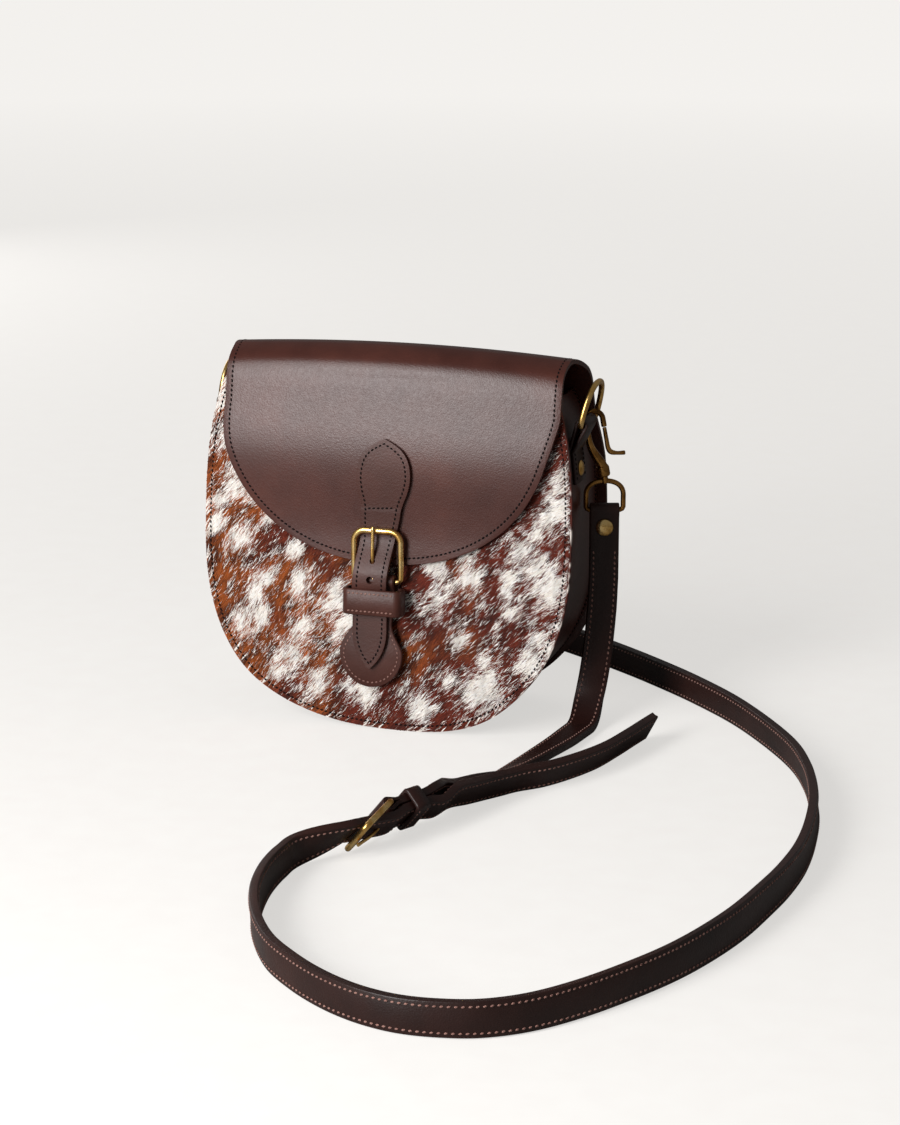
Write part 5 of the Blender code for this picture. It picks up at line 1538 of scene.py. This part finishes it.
def hangRows(side):
    # rows of a strap end from its turned-back layer, round the eye's bar, down to the join
    bar, out = eyeBar(side)
    across = Vector((out.x, out.y, 0)).normalized()
    face = across.cross(worldUp).normalized()
    if face.y > 0:
        face = -face
    layer = strap["layer"]
    fold = eye["wireRadius"] + gap + layer / 2
    long = strap["foldLength"]
    drops = (long, long * 0.6, fold * 1.8)
    rows = [(bar - worldUp * drop - face * layerOffset, across, layer) for drop in drops]
    for angle in arc(0, 180, 16):
        rows.append((bar + (worldUp * sin(angle) - face * cos(angle)) * fold, across, layer))
    for drop in reversed(drops):
        rows.append((bar - worldUp * drop + face * layerOffset, across, layer))
    rows.append((bar - worldUp * (long + layer), across, strapThickness))
    return rows, bar, across, face


def floorRows(table):
    rows = []
    for index, (x, y, lift, lean) in enumerate(table):
        following = table[min(index + 1, len(table) - 1)]
        previous = table[max(index - 1, 0)]
        run = Vector((following[0] - previous[0], following[1] - previous[1], 0)).normalized()
        right = Vector((run.y, -run.x, 0))
        angle = radians(lean)
        across = worldUp * cos(angle) + right * sin(angle)
        rise = lift * strap["routeLength"] + strapThickness / 2 * abs(sin(angle)) + gap
        foot = Vector((x, y, 0)) * strap["routeLength"] + worldUp * rise
        rows.append((foot + across * strap["width"] / 2, across, strapThickness))
    return rows


linkAlong = Vector(link["run"]).normalized()
linkSide = Vector(link["across"])
linkSide = (linkSide - linkAlong * linkSide.dot(linkAlong)).normalized()
linkOut = linkAlong.cross(linkSide)
stackAlong = linkAlong * cos(link["pitch"]) + linkOut * sin(link["pitch"])
stackOut = linkOut * cos(link["pitch"]) - linkAlong * sin(link["pitch"])
linkFold = link["wireRadius"] + gap + strap["layer"] / 2
billetOver = linkFold + strap["layer"] / 2 + gap + strapThickness / 2
billetUnder = link["wireRadius"] + gap * 2 + strapThickness / 2
billetUnder *= (1 + (billetOver / link["halfLength"] / 2) ** 2) * link["pitchShare"]
billetBeside = strapThickness + gap * 2
stackEnd = link["loopRun"] * 2 - link["loopDistance"]


def linkPlace(run, across, out):
    middle = Vector(link["place"]) * strap["routeLength"]
    return middle + linkAlong * run + linkSide * across + linkOut * out


def stackPlace(run, across, out):
    heel = linkPlace(link["halfLength"], 0, 0)
    return heel + stackAlong * run + linkSide * across + stackOut * out


def smoothRows(rows, steps):
    flat = [(*place, *across, thickness) for place, across, thickness in rows]
    return [(Vector(v[:3]), Vector(v[3:6]), v[6]) for v in smoothCurve(flat, steps)]


def easeBend(rows, times):
    # rounds the bend where a hanging strap reaches the ground
    first, last = strap["easedRows"]
    for turn in range(times):
        eased = list(rows)
        for row in range(first, last):
            three = zip(rows[row - 1], rows[row], rows[row + 1])
            eased[row] = tuple((a + c) / 4 + b / 2 for a, b, c in three)
        rows = eased
    return rows


def aboveGround(rows):
    path = [row[0] for row in rows]
    lifted = []
    for (place, across, thickness), along in zip(rows, directions(path)):
        flat, out = sectionAxes(across, along)
        reach = abs(flat.z) * strap["width"] / 2 + abs(out.z) * thickness / 2 + gap
        lifted.append((Vector((place.x, place.y, max(place.z, reach))), across, thickness))
    return lifted


def swingRows(bar, across, face, shifts):
    # the part that hangs free, with its shifts aside and ahead in strap thicknesses
    long = strap["hang"]
    drops = (long * 0.4, long * 0.7, long, long + strap["width"] * 0.7)
    return [(bar - worldUp * drop + (across * aside + face * ahead) * strapThickness, across,
             strapThickness) for drop, (aside, ahead) in zip(drops, shifts)]


def stackRows(spots, thickness):
    # rows that follow the stack behind the strap buckle, from pairs of run and height
    return [(stackPlace(run, 0, out), linkSide, thickness) for run, out in spots]


def longStrapRows():
    hang, bar, across, face = hangRows(-1)
    inward = -across if across.x < 0 else across
    hang = [(place, inward, thickness) for place, _, thickness in hang]
    swing = swingRows(bar, inward, face, ((0, 0), (0.5, -0.5), (1.6, -1.6), (2.2, -3.6)))
    under = linkPlace(-link["halfLength"], 0, -billetUnder - gap)
    over = stackPlace(0, 0, billetOver + gap)
    ahead = (over - under).normalized() * linkFold
    through = [(place, linkSide, strapThickness)
               for place in (under - ahead, under + ahead, (under + over) / 2, over)]
    through += stackRows([
        (linkFold * 2.8, billetBeside), (link["loopDistance"], billetBeside),
        (link["loopRun"], billetBeside), (stackEnd, billetBeside + link["loopSpread"]),
    ], strapThickness)
    ground = swing + floorRows(longRoute) + through + floorRows(tailRoute)
    return hang + easeBend(smoothRows(ground, strap["steps"]), strap["longEasing"])


def shortStrapRows():
    hang, bar, across, face = hangRows(1)
    swing = swingRows(bar, across, face, ((0, 0), (-0.3, 0), (-1.1, 0.2), (-1.8, 1)))
    chape = stackRows([
        (stackEnd, -link["loopSpread"]), (link["loopRun"], 0), (link["loopDistance"], 0),
        (linkFold * 3.0, 0),
    ], strapThickness)
    ground = swing + floorRows(shortRoute) + chape
    rows = hang + easeBend(smoothRows(ground, strap["steps"]), strap["shortEasing"])
    fold = [(linkFold * 2.7, -layerOffset), (linkFold * 1.8, -layerOffset)]
    fold += [(-linkFold * sin(angle), -linkFold * cos(angle)) for angle in arc(0, 180, 16)]
    fold += [(linkFold * 1.8, layerOffset), (linkFold * 2.7, layerOffset)]
    return rows + stackRows(fold, strap["layer"])


def makeStrap(name, rows, node):
    rows = aboveGround(aboveGround(rows))
    full = [(place, across, strap["width"] / 2, thickness) for place, across, thickness in rows]
    piece = strapMesh(name, full)
    for vertex in piece.data.vertices:
        vertex.co.z = max(vertex.co.z, gap / 2)
    finish(piece, "bag", [strapLeather], [node])
    path = [row[0] for row in rows]
    lines = []
    for edge in (-1, 1):
        for face in (-1, 1):
            line = []
            for (place, across, thickness), along in zip(rows, directions(path)):
                if thickness >= strapThickness * 0.98:
                    flat, out = sectionAxes(across, along)
                    reach = edge * (strap["width"] / 2 - strap["stitchInset"])
                    lift = face * (thickness / 2 + stitch["lift"])
                    line.append((place + flat * reach + out * lift, out * face))
            lines.append(line)
    makeStitches(name + "_stitches", lines, "bag", paleThread, spacing=0.0030, size=0.95)


def makeStrapRivet(side):
    rows, bar, across, face = hangRows(side)
    high = strapThickness / 2 + gap
    rivetShape("strap_stud_" + sideName(side), bar - worldUp * strap["rivetDrop"], face,
               strap["rivetRadius"], strap["rivetDome"], -high, high,
               ["strap_rivet_" + sideName(side)])


def makeLinkFrame():
    half = link["halfLength"]
    path = [linkPlace(run, across, 0) for across, run in
            frameLine(link["halfWidth"], -half, half, link["corner"], link["corner"])]
    piece = wire("strap_buckle", path, [link["wireRadius"]] * len(path), linkOut, closed=True)
    finish(piece, "bag", [agedBrass], ["strap_buckle_frame"])
    reach = link["wireRadius"] + gap + link["prongRadius"]
    rest = reach + gap
    over = (billetOver - billetUnder) / 2 + strapThickness / 2 + reach / 2
    points = []
    for angle in map(radians, (300, 345, 30, 75, 115, 150)):
        points.append((half + reach * cos(angle), reach * sin(angle)))
    points += [
        (half - reach * 1.6, reach * 0.50), (half / 3, reach * 1.25),
        (link["prongRadius"], over), (-half / 2, over - gap), (-half, rest),
        (-half - reach, rest - gap),
    ]
    path = [linkPlace(run, 0, out) for run, out in smoothCurve(points, 6)]
    piece = wire("strap_prong", path, [link["prongRadius"]] * len(path), linkSide, sides=12)
    finish(piece, "bag", [agedBrass], ["strap_buckle_prong"])


def makeStrapKeeper():
    wall = link["loopThickness"]
    across = strap["width"] / 2 + link["loopSlack"] + wall
    outward = strapThickness + link["loopSlack"] + wall
    corner = wall * 1.6
    middle = billetBeside / 2
    outer = frameLine(across, middle - outward, middle + outward, corner, corner, 6)
    inner = frameLine(across - wall, middle - outward + wall, middle + outward - wall,
                      corner - wall / 2, corner - wall / 2, 6)
    near = link["loopDistance"] - link["loopWidth"] / 2
    far = link["loopDistance"] + link["loopWidth"] / 2
    makeLoop("strap_keeper_loop", outer, inner, (near, far), 0.0005, 0.3, stackPlace,
             "strap_loop", strapLeather, "strap_keeper")
    lines = []
    for run in (near + link["loopSeam"], far - link["loopSeam"]):
        for face in (-1, 1):
            high = middle + face * (outward + stitch["lift"])
            lines.append([(stackPlace(run, share * (across - strap["stitchInset"]), high),
                           stackOut * face) for share in spread(-1, 1, 14)])
    makeStitches("strap_keeper_stitches", lines, "strap_loop", paleThread, spacing=0.0024,
                 size=0.85)


makeStrap("shoulder_strap_long", longStrapRows(), "strap_long")
makeStrap("shoulder_strap_short", shortStrapRows(), "strap_short")
for side in (1, -1):
    makeStrapRivet(side)
makeLinkFrame()
makeStrapKeeper()
print("shoulder strap made")


# Floor, light and camera

studio = dict(
    floorSize=60.0, skyStrength=0.21,
    # name, place, size, power and the place it shines at
    lamps=[
        ("keySoftbox", (-0.74, -1.42, 1.20), 0.60, 14.0, (0.02, -0.05, 0.09)),
        ("lowSoftbox", (-0.40, -1.25, 0.46), 0.46, 15.0, (0.02, -0.05, 0.12)),
        ("backSoftbox", (-1.35, 1.15, 0.50), 0.80, 4.0, (0, 0, 0.10)),
    ],
)
camera = dict(
    yaw=radians(17.73), pitch=radians(14.70), focalPixels=2899.6, frameWidth=900,
    place=(0.4973, -1.4766, 0.4916), sensor=36.0,
)


def makeFloor():
    deselectAll()
    bpy.ops.mesh.primitive_plane_add(size=studio["floorSize"], location=(0, 0, 0))
    floor = bpy.context.object
    floor.name = "studio_floor"
    material, tree, place = newMaterial("paleStudioPaper", {"Specular IOR Level": 0.2})
    fibre = addNode(tree, "TexNoise", {
        "Vector": place, "Scale": 60.0, "Detail": 4.0}).outputs["Fac"]
    colour = addNode(tree, "ValToRGB", {0: fibre}, [
        (0.3, "a29f9c"), (0.7, "a6a4a1")])
    dress(tree, colour.outputs["Color"], {"Value": fibre, "To Min": 0.75, "To Max": 0.9})
    # the paper looks evenly pale to the camera, however far the lamps reach
    distance = addNode(tree, "VectorMath", {"operation": "LENGTH", 0: place})
    glow = addNode(tree, "MapRange", {
        "Value": distance.outputs["Value"], "From Min": 0.3, "From Max": 3.5, "To Min": 0.71,
        "To Max": 0.93})
    rays = addNode(tree, "LightPath")
    shown = addNode(tree, "Math", {
        "operation": "MULTIPLY", 0: rays.outputs["Is Camera Ray"], 1: glow.outputs[0]})
    shader = tree.nodes["Principled BSDF"]
    shader.inputs["Emission Color"].default_value = linear("f1efec")
    tree.links.new(shown.outputs[0], shader.inputs["Emission Strength"])
    floor.data.materials.append(material)


def makeLamp(name, place, size, power, target):
    data = bpy.data.lights.new(name, "AREA")
    data.energy = power
    data.size = size
    lamp = bpy.data.objects.new(name, data)
    bpy.context.collection.objects.link(lamp)
    lamp.location = place
    lamp.rotation_mode = "QUATERNION"
    lamp.rotation_quaternion = (Vector(target) - Vector(place)).to_track_quat("-Z", "Y")


def makeSky():
    world = bpy.data.worlds.new("studioSky")
    bpy.context.scene.world = world
    world.use_nodes = True
    tree = world.node_tree
    tree.nodes.clear()
    rays = addNode(tree, "LightPath")
    seen = addNode(tree, "Math", {
        "operation": "MAXIMUM", 0: rays.outputs["Is Camera Ray"],
        1: rays.outputs["Is Transmission Ray"]})
    soft = addNode(tree, "Background", {
        "Color": linear("f4f2f0"), "Strength": studio["skyStrength"]})
    white = addNode(tree, "Background", {"Color": linear("f3f2f1"), "Strength": 1.0})
    mixed = addNode(tree, "MixShader", {
        0: seen.outputs[0], 1: soft.outputs[0], 2: white.outputs[0]})
    addNode(tree, "OutputWorld", {"Surface": mixed.outputs[0]})


def makeCamera():
    yaw = camera["yaw"]
    pitch = camera["pitch"]
    back = Vector((sin(yaw) * cos(pitch), -cos(yaw) * cos(pitch), sin(pitch)))
    right = Vector((cos(yaw), sin(yaw), 0))
    up = back.cross(right)
    data = bpy.data.cameras.new("photoCamera")
    data.sensor_fit = "HORIZONTAL"
    data.sensor_width = camera["sensor"]
    data.lens = camera["focalPixels"] / camera["frameWidth"] * camera["sensor"]
    data.clip_start = 0.01
    data.clip_end = 50
    seen = bpy.data.objects.new("photoCamera", data)
    bpy.context.collection.objects.link(seen)
    turn = Matrix((right, up, back)).transposed().to_4x4()
    seen.matrix_world = Matrix.Translation(Vector(camera["place"])) @ turn
    bpy.context.scene.camera = seen


makeFloor()
makeSky()
for lampValues in studio["lamps"]:
    makeLamp(*lampValues)
makeCamera()
bpy.context.scene.view_settings.view_transform = "Standard"
print("studio made")
